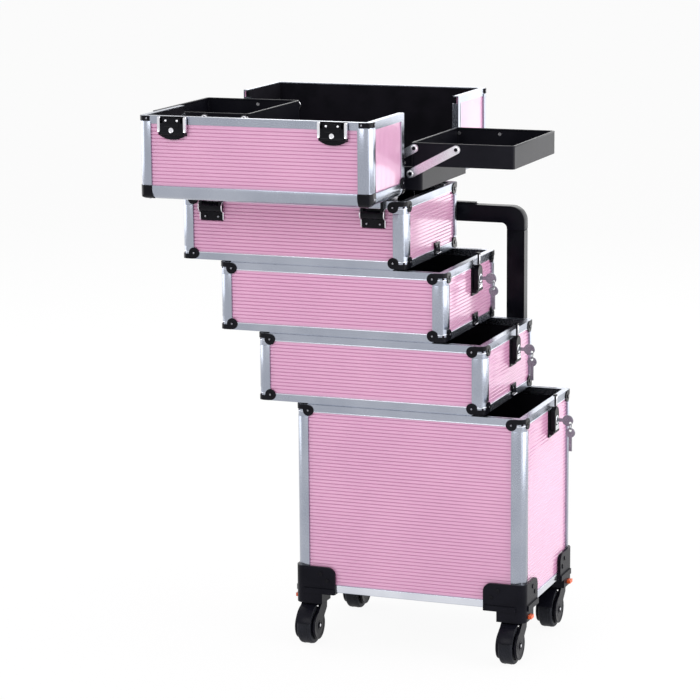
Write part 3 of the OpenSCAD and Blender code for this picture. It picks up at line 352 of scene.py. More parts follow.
def opened(piece, ways):
    """Takes away the faces that look in the given directions, in edit mode."""
    for way in ways:
        pick_faces(piece, way)
        bpy.ops.mesh.delete(type="ONLY_FACE")


def applied(piece, kind, **settings):
    """Adds a modifier to a piece and applies it."""
    only(piece)
    added = piece.modifiers.new(kind.title(), kind)
    for key, value in settings.items():
        setattr(added, key, value)
    bpy.ops.object.modifier_apply(modifier=added.name)


def softened(piece, width, segments=2):
    """The piece with its sharp edges rounded."""
    applied(
        piece, "BEVEL",
        width=width, segments=segments, limit_method="ANGLE", angle_limit=math.radians(SHARP),
    )
    return piece


def walled(shell, thick, soft, offset=-1):
    """The open shell in edit mode, with a wall on its inside or outside and soft edges."""
    bpy.ops.object.mode_set(mode="OBJECT")
    applied(shell, "SOLIDIFY", thickness=thick, offset=offset)
    return softened(shell, soft)


def set_in_mesh(piece):
    """Takes the place, turn and size of an object into its mesh."""
    only(piece)
    bpy.ops.object.transform_apply(location=True, rotation=True, scale=True)
    return piece


def done(piece, name, body, material, smooth=35):
    """Sets the place of a piece in its mesh, names and paints it, and lets it ride on its body."""
    set_in_mesh(piece)
    bpy.ops.object.shade_smooth_by_angle(angle=math.radians(smooth))
    piece.name = name
    piece.data.name = name
    piece.data.materials.clear()
    piece.data.materials.append(material)
    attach(piece, body)
    return piece


def joined(pieces):
    nothing_selected()
    for one in pieces:
        one.select_set(True)
    bpy.context.view_layer.objects.active = pieces[0]
    if len(pieces) > 1:
        bpy.ops.object.join()
    return only(bpy.context.object)


def turned_to(place, direction):
    """The place of a model that stands on z = 0 and is turned to look in the direction."""
    turn = Vector(direction).to_track_quat("Z", "Y")
    return Matrix.Translation(place) @ turn.to_matrix().to_4x4()


def copies(model, spots, name, body, material):
    """Copies of a small model at (place, direction) spots, joined into one piece."""
    made = []
    for spot, direction in spots:
        one = model.copy()
        one.data = model.data.copy()
        bpy.context.collection.objects.link(one)
        one.matrix_world = turned_to(spot, direction)
        made.append(one)
    return done(joined(made), name, body, material)


def dropped(*models):
    for model in models:
        bpy.data.objects.remove(model)


def moved(body, spots):
    """Spots given in the frame of a box or half lid, moved to where it stands."""
    turn = PLACE[body].to_3x3()
    return [(PLACE[body] @ Vector(p), turn @ Vector(d)) for p, d in spots]


def round_the_box(out, z0, z1):
    """Two corners of a block that stands out from a box all round, between two heights."""
    return (-HALF_W - out, -HALF_D - out, z0), (HALF_W + out, HALF_D + out, z1)


def dome(radius, height):
    """A domed rivet head that stands on z = 0."""
    nothing_selected()
    bpy.ops.mesh.primitive_uv_sphere_add(segments=20, ring_count=12, radius=1)
    head, cut = bpy.context.object, 0.1
    edit(head)
    bpy.ops.mesh.bisect(plane_co=(0, 0, cut), plane_no=UP, clear_inner=True, use_fill=True)
    bpy.ops.mesh.select_all(action="SELECT")
    bpy.ops.transform.translate(value=(0, 0, -cut))
    bpy.ops.transform.resize(value=(radius, radius, height / (1 - cut)), center_override=(0, 0, 0))
    bpy.ops.object.mode_set(mode="OBJECT")
    return head


def stud(radius, height, rim, sink, bevel=0.12, sides=28):
    """A turned button that stands on z = 0; rim, sink and bevel are shares of its size."""
    nothing_selected()
    bpy.ops.mesh.primitive_cylinder_add(
        vertices=sides, radius=radius, depth=height, location=(0, 0, height / 2),
    )
    button = set_in_mesh(bpy.context.object)
    edit(button)
    pick_faces(button, UP)
    bpy.ops.mesh.inset(thickness=radius * rim)
    bpy.ops.transform.translate(value=(0, 0, -height * sink))
    bpy.ops.object.mode_set(mode="OBJECT")
    return softened(button, radius * bevel)


def block(low, high):
    """A plain start block between two corners, with its place in its vertices."""
    low, high = Vector(low), Vector(high)
    nothing_selected()
    bpy.ops.mesh.primitive_cube_add(size=1)
    piece = bpy.context.object
    piece.matrix_world = Matrix.Translation((low + high) / 2) @ Matrix.Diagonal((*(high - low), 1))
    return set_in_mesh(piece)


def slab(low, high, bevel, inset=0.0, sink=0.0, out=UP):
    """A plate between two corners with soft edges, and if asked a sunk field on its outer face."""
    plate = block(low, high)
    if inset:
        edit(plate)
        pick_faces(plate, out)
        bpy.ops.mesh.inset(thickness=inset)
        bpy.ops.transform.translate(value=tuple(-sink * Vector(out)))
        bpy.ops.object.mode_set(mode="OBJECT")
    return softened(plate, bevel)


def round_corners(piece, radius, segments=6):
    """Rounds the upright edges of a block and leaves it in edit mode."""
    edit(piece)
    pick_edges(piece, lambda a, b: (a - b).xy.length < NEAR)
    bpy.ops.mesh.bevel(offset=radius, segments=segments, affect="EDGES")


def band(low, high, radius, thick, soft=0.0003):
    """An upright rounded ring between two corners, with its wall on the inside."""
    ring = block(low, high)
    round_corners(ring, radius)
    opened(ring, (DOWN, UP))
    return walled(ring, thick, soft)


def pad_of(low, high, radius, soft):
    """A flat pad with rounded corners between two corners."""
    pad = block(low, high)
    round_corners(pad, radius)
    bpy.ops.object.mode_set(mode="OBJECT")
    return softened(pad, soft)


def ring_of(radius, wire, place):
    """A ring of wire that looks along x, flattened a little on its outer side."""
    nothing_selected()
    bpy.ops.mesh.primitive_torus_add(
        major_segments=40, minor_segments=10, major_radius=radius, minor_radius=wire,
    )
    loop, flat = bpy.context.object, wire * 0.8
    edit(loop)
    bpy.ops.mesh.bisect(plane_co=(0, 0, flat), plane_no=UP, clear_outer=True, use_fill=False)
    bpy.ops.mesh.select_all(action="DESELECT")
    bpy.ops.mesh.select_mode(type="EDGE")
    bpy.ops.mesh.select_non_manifold()
    bpy.ops.mesh.bridge_edge_loops()
    bpy.ops.mesh.select_all(action="SELECT")
    bpy.ops.mesh.normals_make_consistent(inside=False)
    bpy.ops.object.mode_set(mode="OBJECT")
    loop.matrix_world = turned_to(place, (1, 0, 0))
    return set_in_mesh(loop)


# Rivets and screws

CAP_RIVET_IN, CAP_RIVET_DROP = 0.0095, 0.0125
SPLIT_RIVET_IN = 0.012
LEAF_RIVET_X, LID_LEAF_RIVETS, BASE_LEAF_DROP = 0.010, (0.021, 0.033), 0.033
CATCH_RIVET_Y, CATCH_RIVET_Z = 0.006, 0.014
# Distance from the corner and height of the screws on the faces of a moulded corner
MOULDING_SCREWS = ((0.036, 0.027), (0.046, 0.017))


def corner_pair(sx, sy, inset, out, z):
    """Spots on both faces beside one upright edge of the case, at one height."""
    return [
        ((sx * (HALF_W - inset), sy * (HALF_D + out), z), (0, sy, 0)),
        ((sx * (HALF_W + out), sy * (HALF_D - inset), z), (sx, 0, 0)),
    ]


def ear_spots(levels, inset=EAR_IN, out=BRACE):
    """Spots beside all four upright edges of a box, at the given heights."""
    spots = []
    for z in levels:
        for sx in SIDES:
            for sy in SIDES:
                spots += corner_pair(sx, sy, inset, out, z)
    return spots


def box_rivets(body):
    """Rivets on the corner braces of a box, on its catch and on its hinge leaves."""
    spots = ear_spots([HEIGHT[body] - EAR_DROP] + ([] if body == "bin" else [EAR_DROP]))
    if body != "bin":
        for s in SIDES:
            place = (HALF_W + CATCH_FACE, LATCH_Y + s * CATCH_RIVET_Y, CATCH_RIVET_Z)
            spots.append((place, (1, 0, 0)))
    if body == "top_base":
        z = BASE_H - BASE_LEAF_DROP
        for sy in SIDES:
            face = sy * (HALF_D + LEAF_FACE)
            for x in (-HINGE_X, HINGE_X):
                spots += [((x + s * LEAF_RIVET_X, face, z), (0, sy, 0)) for s in SIDES]
    return spots


def lid_rivets():
    """Rivets on the braces, the hinge leaves and the moulded caps of a half lid."""
    spots = []
    split_y = -SPLIT - SPLIT_BRACE_BACK - BRACE_H / 2
    for s in SIDES:
        spots += corner_pair(s, -1, EAR_IN, BRACE, EAR_DROP)
        spots.append(((s * (HALF_W - SPLIT_RIVET_IN), split_y, LID_H + BRACE), UP))
        spots.append(((s * (HALF_W + BRACE), split_y, LID_H - SPLIT_RIVET_IN), (s, 0, 0)))
        for sx in SIDES:
            for z in LID_LEAF_RIVETS:
                place = (s * HINGE_X + sx * LEAF_RIVET_X, -HALF_D - LEAF_FACE, z)
                spots.append((place, (0, -1, 0)))
    for s in SIDES:
        spots += corner_pair(s, -1, CAP_RIVET_IN, CAP_FACE, LID_H - CAP_RIVET_DROP)
    return spots


rivet = dome(radius=0.0025, height=0.0012)
for body in BOXES:
    spots = moved(body, box_rivets(body))
    copies(rivet, spots, body + "_rivets", body, DARK_NICKEL)
for body in LIDS:
    spots = moved(body, lid_rivets())
    copies(rivet, spots, body + "_rivets", body, DARK_NICKEL)
screw = stud(radius=0.0034, height=0.0012, rim=0.4, sink=0.5)
spots = []
for inset, z in MOULDING_SCREWS:
    spots += ear_spots([z], inset, MOULD)
copies(screw, spots, "moulding_screws", "bin", BLACK_METAL)
dropped(rivet, screw)


# Lips of the aluminium rails

LIP_OUT, LIP_H, LIP_T = 0.0005, 0.0012, 0.0009


def lip_ring(z):
    """A raised lip round a box, with its lower edge at the given height."""
    return band(*round_the_box(LIP_OUT, z, z + LIP_H), EDGE_R + LIP_OUT, LIP_T)


def rail_lips(body):
    """Raised lips along the inner edges of the rim and bottom rails of a box."""
    levels = [HEIGHT[body] - RIM] + ([] if body == "bin" else [RIM - LIP_H])
    lips = joined([lip_ring(z) for z in levels])
    lips.matrix_world = PLACE[body]
    # The lips take the lighter aluminium, a painted highlight
    done(lips, body + "_rail_lips", body, PAINTED_HIGHLIGHT_ALUMINIUM)


def lid_lip(body):
    """Raised lip along the rail of a half lid, open on the side of the split."""
    lip = lip_ring(RIM - LIP_H)
    edit(lip)
    bpy.ops.mesh.bisect(
        plane_co=(0, -SPLIT - RIM, 0), plane_no=(0, 1, 0), clear_outer=True, use_fill=True,
    )
    bpy.ops.object.mode_set(mode="OBJECT")
    lip.matrix_world = PLACE[body]
    # The lip takes the lighter aluminium, a painted highlight
    done(lip, body + "_rail_lip", body, PAINTED_HIGHLIGHT_ALUMINIUM)


for body in BOXES:
    rail_lips(body)
for body in LIDS:
    lid_lip(body)


# Rounded covers of the uprights and of the lid edges

COVER_OUT, COVER_R, COVER_T, COVER_SOFT = 0.00146, 0.014, 0.0016, 0.0005
COVER_GAP, COVER_SEGMENTS = 0.0006, 14
BIN_COVER_FOOT = 0.038
COVER_END = 2 * EAR_DROP + COVER_GAP


def upright_covers(body, z0, z1, front_only=False):
    """Quarter-round covers on the corners of a box or half lid, between two heights."""
    ring = block(*round_the_box(COVER_OUT, z0, z1))
    round_corners(ring, COVER_R, COVER_SEGMENTS)
    opened(ring, (DOWN, UP))
    cut_x, cut_y = HALF_W - EDGE_W, HALF_D - EDGE_W
    for point, normal in (
        ((cut_x, 0, 0), (1, 0, 0)),
        ((-cut_x, 0, 0), (1, 0, 0)),
        ((0, cut_y, 0), (0, 1, 0)),
        ((0, -cut_y, 0), (0, 1, 0)),
    ):
        bpy.ops.mesh.select_all(action="SELECT")
        bpy.ops.mesh.bisect(plane_co=point, plane_no=normal)
    bpy.ops.mesh.select_mode(type="FACE")
    mesh = bmesh.from_edit_mesh(ring.data)
    for face in mesh.faces:
        middle = face.calc_center_median()
        flat = abs(middle.x) < cut_x or abs(middle.y) < cut_y
        face.select_set(flat or (front_only and middle.y > 0))
    bmesh.update_edit_mesh(ring.data)
    bpy.ops.mesh.delete(type="FACE")
    walled(ring, COVER_T, COVER_SOFT)
    ring.matrix_world = PLACE[body]
    done(ring, body + "_upright_covers", body, ALUMINIUM, smooth=40)


for body in BOXES:
    foot = BIN_COVER_FOOT if body == "bin" else COVER_END
    upright_covers(body, foot, HEIGHT[body] - COVER_END)
for body in LIDS:
    upright_covers(body, COVER_END, LID_H - EDGE_W - COVER_GAP, front_only=True)


def edge_cover(low, high, kept):
    """A quarter-round cover over the edge between the two kept faces of a block."""
    bar = block(low, high)
    edit(bar)
    opened(bar, [way for way in WAYS if way not in kept])
    aims = [Vector(way) for way in kept]
    reach = [max(aim.dot(Vector(low)), aim.dot(Vector(high))) for aim in aims]

    def on_both(v):
        return all(aim.dot(v) > far - NEAR for aim, far in zip(aims, reach))

    pick_edges(bar, lambda a, b: on_both(a) and on_both(b))
    bpy.ops.mesh.bevel(offset=COVER_R, segments=COVER_SEGMENTS, affect="EDGES")
    return walled(bar, COVER_T, COVER_SOFT)


def lid_edge_covers(body):
    """Quarter-round covers along the two sides and the outer edge of a half lid's top."""
    outer_x, outer_y, top = HALF_W + COVER_OUT, HALF_D + COVER_OUT, LID_H + COVER_OUT
    inner_x, inner_y, under = HALF_W - EDGE_W, HALF_D - EDGE_W, LID_H - EDGE_W
    made = []
    for s in SIDES:
        ends = (s * outer_x, s * inner_x)
        low = (min(ends), -inner_y + COVER_GAP, under)
        high = (max(ends), -SPLIT - SPLIT_BRACE_BACK - BRACE_H - COVER_GAP, top)
        made.append(edge_cover(low, high, ((s, 0, 0), UP)))
    low, high = (-inner_x + COVER_GAP, -outer_y, under), (inner_x - COVER_GAP, -inner_y, top)
    made.append(edge_cover(low, high, ((0, -1, 0), UP)))
    covers = joined(made)
    covers.matrix_world = PLACE[body]
    done(covers, body + "_edge_covers", body, ALUMINIUM, smooth=40)


for body in LIDS:
    lid_edge_covers(body)


# Rail round the foot of the bin, a sheet over it in aluminium lightened as a painted highlight

FOOT_OUT, FOOT_T, FOOT_LOW, FOOT_TOP = 0.0006, 0.0012, 0.0006, RIM - 0.0004

rail = band(*round_the_box(FOOT_OUT, FOOT_LOW, FOOT_TOP), EDGE_R + FOOT_OUT, FOOT_T)
done(rail, "bin_foot_rail", "bin", PAINTED_HIGHLIGHT_ALUMINIUM)


# Trays and their arms

BEAD_OUT, BEAD_IN, BEAD_UP, BEAD_DROP, BEAD_SOFT = 0.0002, 0.0008, 0.0006, 0.0024, 0.0008
MAT_GAP, MAT_T, MAT_SOFT = 0.0006, 0.0012, 0.0004


def tray_trim(node):
    """A rim bead round the top of a tray and a mat on its floor."""
    (x0, y0, z0), (x1, y1, z1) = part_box(node)
    bead = band(
        (x0 - BEAD_OUT, y0 - BEAD_OUT, z1 - BEAD_DROP),
        (x1 + BEAD_OUT, y1 + BEAD_OUT, z1 + BEAD_UP),
        TRAY_R + BEAD_OUT, TRAY_T + BEAD_IN, BEAD_SOFT,
    )
    done(bead, node + "_rim", node, TRAY_BLACK)
    wall, floor_z = TRAY_T + MAT_GAP, z0 + TRAY_T
    pad = pad_of(
        (x0 + wall, y0 + wall, floor_z),
        (x1 - wall, y1 - wall, floor_z + MAT_T),
        TRAY_R - TRAY_T, MAT_SOFT,
    )
    done(pad, node + "_mat", node, LINING)


def arm_ends(side):
    """Pivots of the four kinds of arms on one side, by node."""
    low, inner_low = PIVOT[f"{side}_upper_tray_swing"], PIVOT[f"{side}_long_inner_swing"]
    high = PIVOT[f"{side}_upper_tray_level"]
    short_high = PIVOT[f"{side}_lower_tray_level"]
    step = inner_low - low
    return {
        f"{side}_long_outer_arms": (low, high),
        f"{side}_long_inner_arms": (inner_low, high + step),
        f"{side}_short_outer_arms": (short_high,),
        f"{side}_short_inner_arms": (short_high + step,),
    }


head = stud(radius=0.0026, height=0.0008, rim=0.35, sink=0.3)
for side in ("right", "left"):
    for level in ("lower", "upper"):
        tray_trim(f"{side}_{level}_tray")
for side in ("right", "left"):
    for node, places in arm_ends(side).items():
        spots = [((p.x, s * ARM_FACE, p.z), (0, s, 0)) for p in places for s in SIDES]
        copies(head, spots, node + "_rivet_heads", node, BLACK_METAL)
dropped(head)


# Latches across the split of the lids

# Where the side clips lie: out from the latch, back from the split, and above the lid
CLIP_X, CLIP_Y, CLIP_Z = (0.0004, 0.0046), (0.0215, 0.0005), (0.0022, 0.0074)
# Lock plug, corner studs and finger plate, up from the foot of the latch
LOCK_UP, STUD_X, STUD_UP = 0.0045, 0.0085, 0.0175
FINGER_HALF, FINGER_UP, FINGER_T = 0.0115, (0.0085, 0.0140), 0.0007


def lid_latch_clips():
    """Bright side clips of the two latches."""
    clips = []
    for x in (-LID_LATCH_X, LID_LATCH_X):
        for s in SIDES:
            ends = [x + s * (LID_LATCH_W / 2 + out) for out in CLIP_X]
            low = (min(ends), -SPLIT - CLIP_Y[0], LID_H + CLIP_Z[0])
            high = (max(ends), -SPLIT - CLIP_Y[1], LID_H + CLIP_Z[1])
            clips.append(slab(low, high, bevel=0.0008, inset=0.001, sink=0.0008))
    made = joined(clips)
    made.matrix_world = PLACE["front_lid"]
    done(made, "lid_latch_clips", "front_lid", CHROME)


def lid_latch_trim(body, x):
    """Bright lock plug and corner studs and a sunk finger plate on one latch lever."""
    face, foot = LID_H + LID_LATCH_FACE, -SPLIT - LID_LATCH_H + LID_LATCH_OVER
    spots = moved("front_lid", [((x, foot + LOCK_UP, face), UP)])
    copies(plug, spots, body + "_plug", body, CHROME)
    spots = moved("front_lid", [((x + s * STUD_X, foot + STUD_UP, face), UP) for s in SIDES])
    copies(dot, spots, body + "_studs", body, CHROME)
    field = slab(
        (x - FINGER_HALF, foot + FINGER_UP[0], face - SEAT),
        (x + FINGER_HALF, foot + FINGER_UP[1], face + FINGER_T),
        bevel=0.0003, inset=0.0009, sink=0.0005,
    )
    field.matrix_world = PLACE["front_lid"]
    done(field, body + "_finger_plate", body, BLACK_METAL)


lid_latch_clips()
plug = stud(radius=0.0036, height=0.0016, rim=0.28, sink=0.45)
dot = dome(radius=0.0017, height=0.0008)
lid_latch_trim("left_lid_latch", -LID_LATCH_X)
lid_latch_trim("right_lid_latch", LID_LATCH_X)
dropped(plug, dot)


# Hinges of the half lids

DRUM_DROP = 0.019
WIRE, WIRE_BESIDE, WIRE_OVER, WIRE_DROP = 0.0008, 0.0009, 0.0004, 0.0375


def hinge_wires(sy):
    """Spring wires round both ends of the hinge drums on one side of the base."""
    made = []
    drum_z = BASE_H - DRUM_DROP
    face = sy * HALF_D
    for x in (-HINGE_X, HINGE_X):
        for s in SIDES:
            end = x + s * (HINGE_W / 2 + WIRE_BESIDE)
            made.append(ring_of(DRUM_R + WIRE_OVER, WIRE, (end, face, drum_z)))
            low = (end - WIRE, min(face, face + sy * 2 * WIRE), BASE_H - WIRE_DROP)
            high = (end + WIRE, max(face, face + sy * 2 * WIRE), drum_z - DRUM_R + WIRE)
            made.append(slab(low, high, bevel=0.0005))
    wires = joined(made)
    wires.matrix_world = PLACE["top_base"]
    done(wires, ("front" if sy < 0 else "back") + "_hinge_wires", "top_base", STEEL)


for side in SIDES:
    hinge_wires(side)


# Side latches and catches

BEZEL_R, BEZEL_WIRE = 0.0055, 0.0009
# Half widths, thicknesses and heights of the foot plate, hook strip and catch sleeve
PLATE_HALF, PLATE_T, PLATE_UP = 0.0075, 0.0009, (0.0030, 0.0096)
STRIP_HALF, STRIP_T, STRIP_DROP, STRIP_UP = 0.0026, 0.0008, 0.0065, 0.0070
SLEEVE_HALF, SLEEVE_OUT, SLEEVE_UP = 0.0073, (0.0013, 0.0047), (0.0027, 0.0053)


def latch_plate(faces, half, levels, **shape):
    """A plate on the middle line of the side latches, between two faces and two heights."""
    low = (HALF_W + faces[0], LATCH_Y - half, levels[0])
    high = (HALF_W + faces[1], LATCH_Y + half, levels[1])
    return slab(low, high, **shape)


def side_latch_trim(body):
    """A bright bezel on the lock of a side latch, a plate under it and a strip on its hook."""
    height = HEIGHT[body]
    foot = height - SIDE_LATCH_TOP - SIDE_LATCH_H
    lock = (HALF_W + LATCH_FACE + SEAT, LATCH_Y, foot + PLUG_Z)
    bezel = ring_of(BEZEL_R, BEZEL_WIRE, lock)
    bezel.matrix_world = PLACE[body]
    done(bezel, body + "_lock_bezel", body + "_latch", CHROME)
    plate = latch_plate(
        (LATCH_FACE - SEAT, LATCH_FACE + PLATE_T), PLATE_HALF, [foot + up for up in PLATE_UP],
        bevel=0.0004, inset=0.0012, sink=0.0004, out=(1, 0, 0),
    )
    strip = latch_plate(
        (HOOK_FACE - SEAT, HOOK_FACE + STRIP_T), STRIP_HALF,
        (height - STRIP_DROP, height + STRIP_UP), bevel=0.0003,
    )
    plates = joined([plate, strip])
    plates.matrix_world = PLACE[body]
    done(plates, body + "_latch_plates", body + "_latch", CHROME)


def catch_trim(body):
    """A bright sleeve on the lip that the hook of the latch below holds."""
    sleeve = latch_plate(SLEEVE_OUT, SLEEVE_HALF, SLEEVE_UP, bevel=0.0003)
    sleeve.matrix_world = PLACE[body]
    done(sleeve, body + "_catch_lip", body, CHROME)


for body in BOXES[:3]:
    side_latch_trim(body)
for body in BOXES[1:]:
    catch_trim(body)


# Casters

HOOD_R, HOOD_T, HOOD_W, HOOD_SOFT = 0.0288, 0.0014, 0.0232, 0.0003
HOOD_FRONT, HOOD_BACK = 30, 72
CHEEK_R, CHEEK_T, CHEEK_SINK, CHEEK_GAP = 0.0205, 0.0052, 0.12, 0.0008
LINE_X, LINE_WIRE = 0.0045, 0.0006


def wheel_hood():
    """A guard over the top of a wheel whose axle lies at the origin, from its front to the stem."""
    nothing_selected()
    bpy.ops.mesh.primitive_cylinder_add(
        vertices=96, radius=HOOD_R, depth=HOOD_W, end_fill_type="NOTHING",
        rotation=(0, math.pi / 2, 0),
    )
    guard = set_in_mesh(bpy.context.object)
    edit(guard)
    for degrees, way in ((HOOD_BACK, 1), (-HOOD_FRONT, -1)):
        turn = math.radians(degrees)
        cut = (0, way * math.cos(turn), -way * math.sin(turn))
        bpy.ops.mesh.select_all(action="SELECT")
        bpy.ops.mesh.bisect(plane_co=(0, 0, 0), plane_no=cut, clear_outer=True)
    return walled(guard, HOOD_T, HOOD_SOFT, offset=1)


def beside(axle, out):
    """Spots on both sides of a wheel, at a distance along its axle."""
    return [(axle + Vector((s * out, 0, 0)), (s, 0, 0)) for s in SIDES]


def caster_trim(place):
    """Cheeks, hood, axle rings and bright axle heads on a fork, and lines on its wheel."""
    axle = PIVOT[place + "_roll"]
    fork, wheel = "fork_" + place, "wheel_" + place
    inner = WHEEL_W / 2 + CHEEK_GAP
    face = inner + CHEEK_T * (1 - CHEEK_SINK)
    copies(cheek, beside(axle, inner), fork + "_cheeks", fork, BLACK_PLASTIC)
    copies(hood, [(axle, UP)], fork + "_hood", fork, BLACK_PLASTIC)
    copies(cap, beside(axle, face + SEAT), fork + "_axle_heads", fork, CHROME)
    copies(rim, beside(axle, face - SEAT), fork + "_axle_rings", fork, BLACK_PLASTIC)
    lines = [ring_of(WHEEL_R - SEAT, LINE_WIRE, spot) for spot, _ in beside(axle, LINE_X)]
    done(joined(lines), wheel + "_tread_lines", wheel, RUBBER)


cap = dome(radius=0.0030, height=0.0014)
rim = stud(radius=0.0070, height=0.0010, rim=0.16, sink=0.5)
cheek = stud(CHEEK_R, CHEEK_T, rim=0.10, sink=CHEEK_SINK, bevel=0.06, sides=44)
hood = wheel_hood()
for end in ("front", "rear"):
    for side in ("left", "right"):
        caster_trim(f"{end}_{side}")
dropped(cap, rim, cheek, hood)


# Guides of the telescopic handle

COLLAR_TOP, COLLAR_H, COLLAR_OUT, COLLAR_IN = 0.270, 0.012, 0.0012, 0.0012
COLLAR_R, COLLAR_SOFT = 0.0025, 0.0005
GUIDE_SCREWS = (0.045, 0.145, 0.235)


def guide_trim():
    """Collars round the tops of the handle guides and screws in their backs."""
    made, spots = [], []
    half = TUBE_W / 2 + HOUSING_T
    back = TUBE_Y + TUBE_D / 2 + HOUSING_T
    for s in SIDES:
        x = s * TUBE_X
        low = (x - half - COLLAR_OUT, HALF_D + SEAT, COLLAR_TOP - COLLAR_H)
        high = (x + half + COLLAR_OUT, back + COLLAR_OUT, COLLAR_TOP)
        made.append(band(low, high, COLLAR_R, COLLAR_OUT + COLLAR_IN, COLLAR_SOFT))
        spots += [((x, back, z), (0, 1, 0)) for z in GUIDE_SCREWS]
    done(joined(made), "handle_guide_collars", "bin", BLACK_PLASTIC)
    screw = stud(radius=0.0034, height=0.0013, rim=0.45, sink=0.5)
    copies(screw, spots, "handle_guide_screws", "bin", CHROME)
    dropped(screw)


guide_trim()


# Nodes with a piece in their place

def twin(node):
    """A merged copy of a node, in edit mode."""
    piece = nodes[node].copy()
    piece.data = nodes[node].data.copy()
    bpy.context.collection.objects.link(piece)
    edit(piece)
    bpy.ops.mesh.remove_doubles(threshold=MERGE)
    return piece


def flush_strikes(body):
    """The fittings of the back lid with the strikes of its latches flush with the split edge."""
    piece = twin(body + "_fittings")
    edge = PLACE[body] @ Vector((0, -SPLIT, 0))
    bpy.ops.mesh.bisect(plane_co=edge, plane_no=UP, clear_outer=True, use_fill=True)
    bpy.ops.object.mode_set(mode="OBJECT")
    done(piece, body + "_flush_fittings", body, BLACK_METAL)
    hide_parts(body + "_fittings")


def soft_edged(node, name, body, material, width):
    """A copy of a moulded node with its edges rounded, shown in its place."""
    piece = twin(node)
    bpy.ops.mesh.dissolve_limited(angle_limit=math.radians(1))
    bpy.ops.object.mode_set(mode="OBJECT")
    softened(piece, width, segments=3)
    done(piece, name, body, material, smooth=40)
    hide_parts(node)


flush_strikes("back_lid")
soft_edged("handle_grip", "rounded_grip", "handle_grip", BLACK_PLASTIC, width=0.0022)


# Floor, light and camera

FLOOR_SIZE = 60
# How much of the floor the camera sees as plain white, and how bright the world is
WHITE_SHARE, WORLD_LIGHT = 0.93, 0.52

nothing_selected()
bpy.ops.mesh.primitive_plane_add(size=FLOOR_SIZE, location=(0, 0, FLOOR_Z))
floor = bpy.context.object
floor.name = "studio_floor"


def seen_rays(n, link):
    """One where the camera, a reflection or a view through glass looks, and nought elsewhere."""
    rays = n.new("ShaderNodeLightPath")
    either, any_ray = n.new("ShaderNodeMath"), n.new("ShaderNodeMath")
    either.operation = any_ray.operation = "MAXIMUM"
    link.new(rays.outputs["Is Camera Ray"], either.inputs[0])
    link.new(rays.outputs["Is Glossy Ray"], either.inputs[1])
    link.new(either.outputs["Value"], any_ray.inputs[0])
    link.new(rays.outputs["Is Transmission Ray"], any_ray.inputs[1])
    return any_ray.outputs["Value"]


def studio_floor():
    """White floor, mostly plain white where it is seen, with the soft shadow kept."""
    made = bpy.data.materials.new("White studio floor")
    made.use_nodes = True
    n, link = made.node_tree.nodes, made.node_tree.links
    skin = n["Principled BSDF"]
    skin.inputs["Base Color"].default_value = (0.92, 0.92, 0.92, 1)
    skin.inputs["Roughness"].default_value = 0.95
    skin.inputs["Specular IOR Level"].default_value = 0.1
    share = n.new("ShaderNodeMath")
    share.operation = "MULTIPLY"
    share.inputs[1].default_value = WHITE_SHARE
    white = n.new("ShaderNodeEmission")
    blend = n.new("ShaderNodeMixShader")
    link.new(seen_rays(n, link), share.inputs[0])
    link.new(share.outputs["Value"], blend.inputs["Fac"])
    link.new(skin.outputs["BSDF"], blend.inputs[1])
    link.new(white.outputs["Emission"], blend.inputs[2])
    link.new(blend.outputs["Shader"], n["Material Output"].inputs["Surface"])
    return made


floor.data.materials.append(studio_floor())


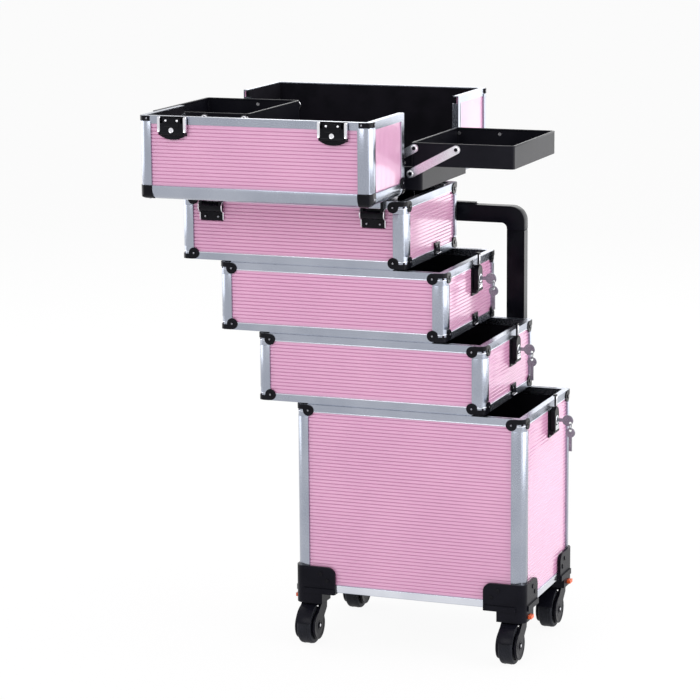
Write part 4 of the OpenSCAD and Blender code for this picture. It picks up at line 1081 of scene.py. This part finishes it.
def studio_world():
    """Soft light from all round, which the camera and reflections see as white."""
    world = bpy.data.worlds.new("Studio")
    bpy.context.scene.world = world
    world.use_nodes = True
    n, link = world.node_tree.nodes, world.node_tree.links
    n.clear()
    soft, white = n.new("ShaderNodeBackground"), n.new("ShaderNodeBackground")
    blend, out = n.new("ShaderNodeMixShader"), n.new("ShaderNodeOutputWorld")
    soft.inputs["Color"].default_value = (1, 1, 1, 1)
    soft.inputs["Strength"].default_value = WORLD_LIGHT
    white.inputs["Color"].default_value = (1, 1, 1, 1)
    white.inputs["Strength"].default_value = 1.0
    link.new(seen_rays(n, link), blend.inputs["Fac"])
    link.new(soft.outputs["Background"], blend.inputs[1])
    link.new(white.outputs["Background"], blend.inputs[2])
    link.new(blend.outputs["Shader"], out.inputs["Surface"])


studio_world()


def lamp(name, place, aim, size, power):
    """A soft lamp of a size in metres and a power in watts, turned to its aim."""
    data = bpy.data.lights.new(name, "AREA")
    data.shape = "RECTANGLE"
    data.size, data.size_y = size
    data.energy = power
    lit = bpy.data.objects.new(name, data)
    bpy.context.scene.collection.objects.link(lit)
    lit.location = place
    lit.rotation_euler = (Vector(aim) - Vector(place)).to_track_quat("-Z", "Y").to_euler()


lamp("Right softbox", (2.8, 0.2, 1.0), (0, 0, 0.4), (3.6, 2.4), 76)
lamp("Left softbox", (-2.8, 0.2, 1.0), (-0.1, 0, 0.35), (3.0, 2.2), 40)
lamp("Front softbox", (-0.5, -3.0, 2.0), (0, 0, 0.3), (2.0, 1.4), 32)
lamp("Back softbox", (-0.6, 3.0, 1.8), (0, 0, 0.3), (2.0, 1.4), 20)
lamp("Rear right softbox", (1.15, 2.3, 0.62), (0.1, 0, 0.35), (2.0, 1.4), 11.5)
lamp("Top softbox", (0.0, 0.2, 2.8), (-0.1, 0, 0.3), (2.0, 2.0), 16)

# Focal length in pixels of the image, the image's side in pixels, and the sensor in millimetres
FOCAL_PX, IMAGE_PX, SENSOR = 2745, 700, 36
CAMERA_PLACE = (1.2721, -3.6772, 1.1036)
CAMERA_TURN, CAMERA_TILT, CAMERA_ROLL = 20.89, 11.06, -0.43

eye = bpy.data.cameras.new("Camera")
eye.lens = FOCAL_PX / IMAGE_PX * SENSOR
eye.clip_end = 100
camera = bpy.data.objects.new("Camera", eye)
bpy.context.scene.collection.objects.link(camera)
camera.matrix_world = (
    Matrix.Translation(CAMERA_PLACE)
    @ Matrix.Rotation(math.radians(CAMERA_TURN), 4, "Z")
    @ Matrix.Rotation(math.radians(90 - CAMERA_TILT), 4, "X")
    @ Matrix.Rotation(math.radians(CAMERA_ROLL), 4, "Z")
)
bpy.context.scene.camera = camera
bpy.context.scene.view_settings.view_transform = "Standard"
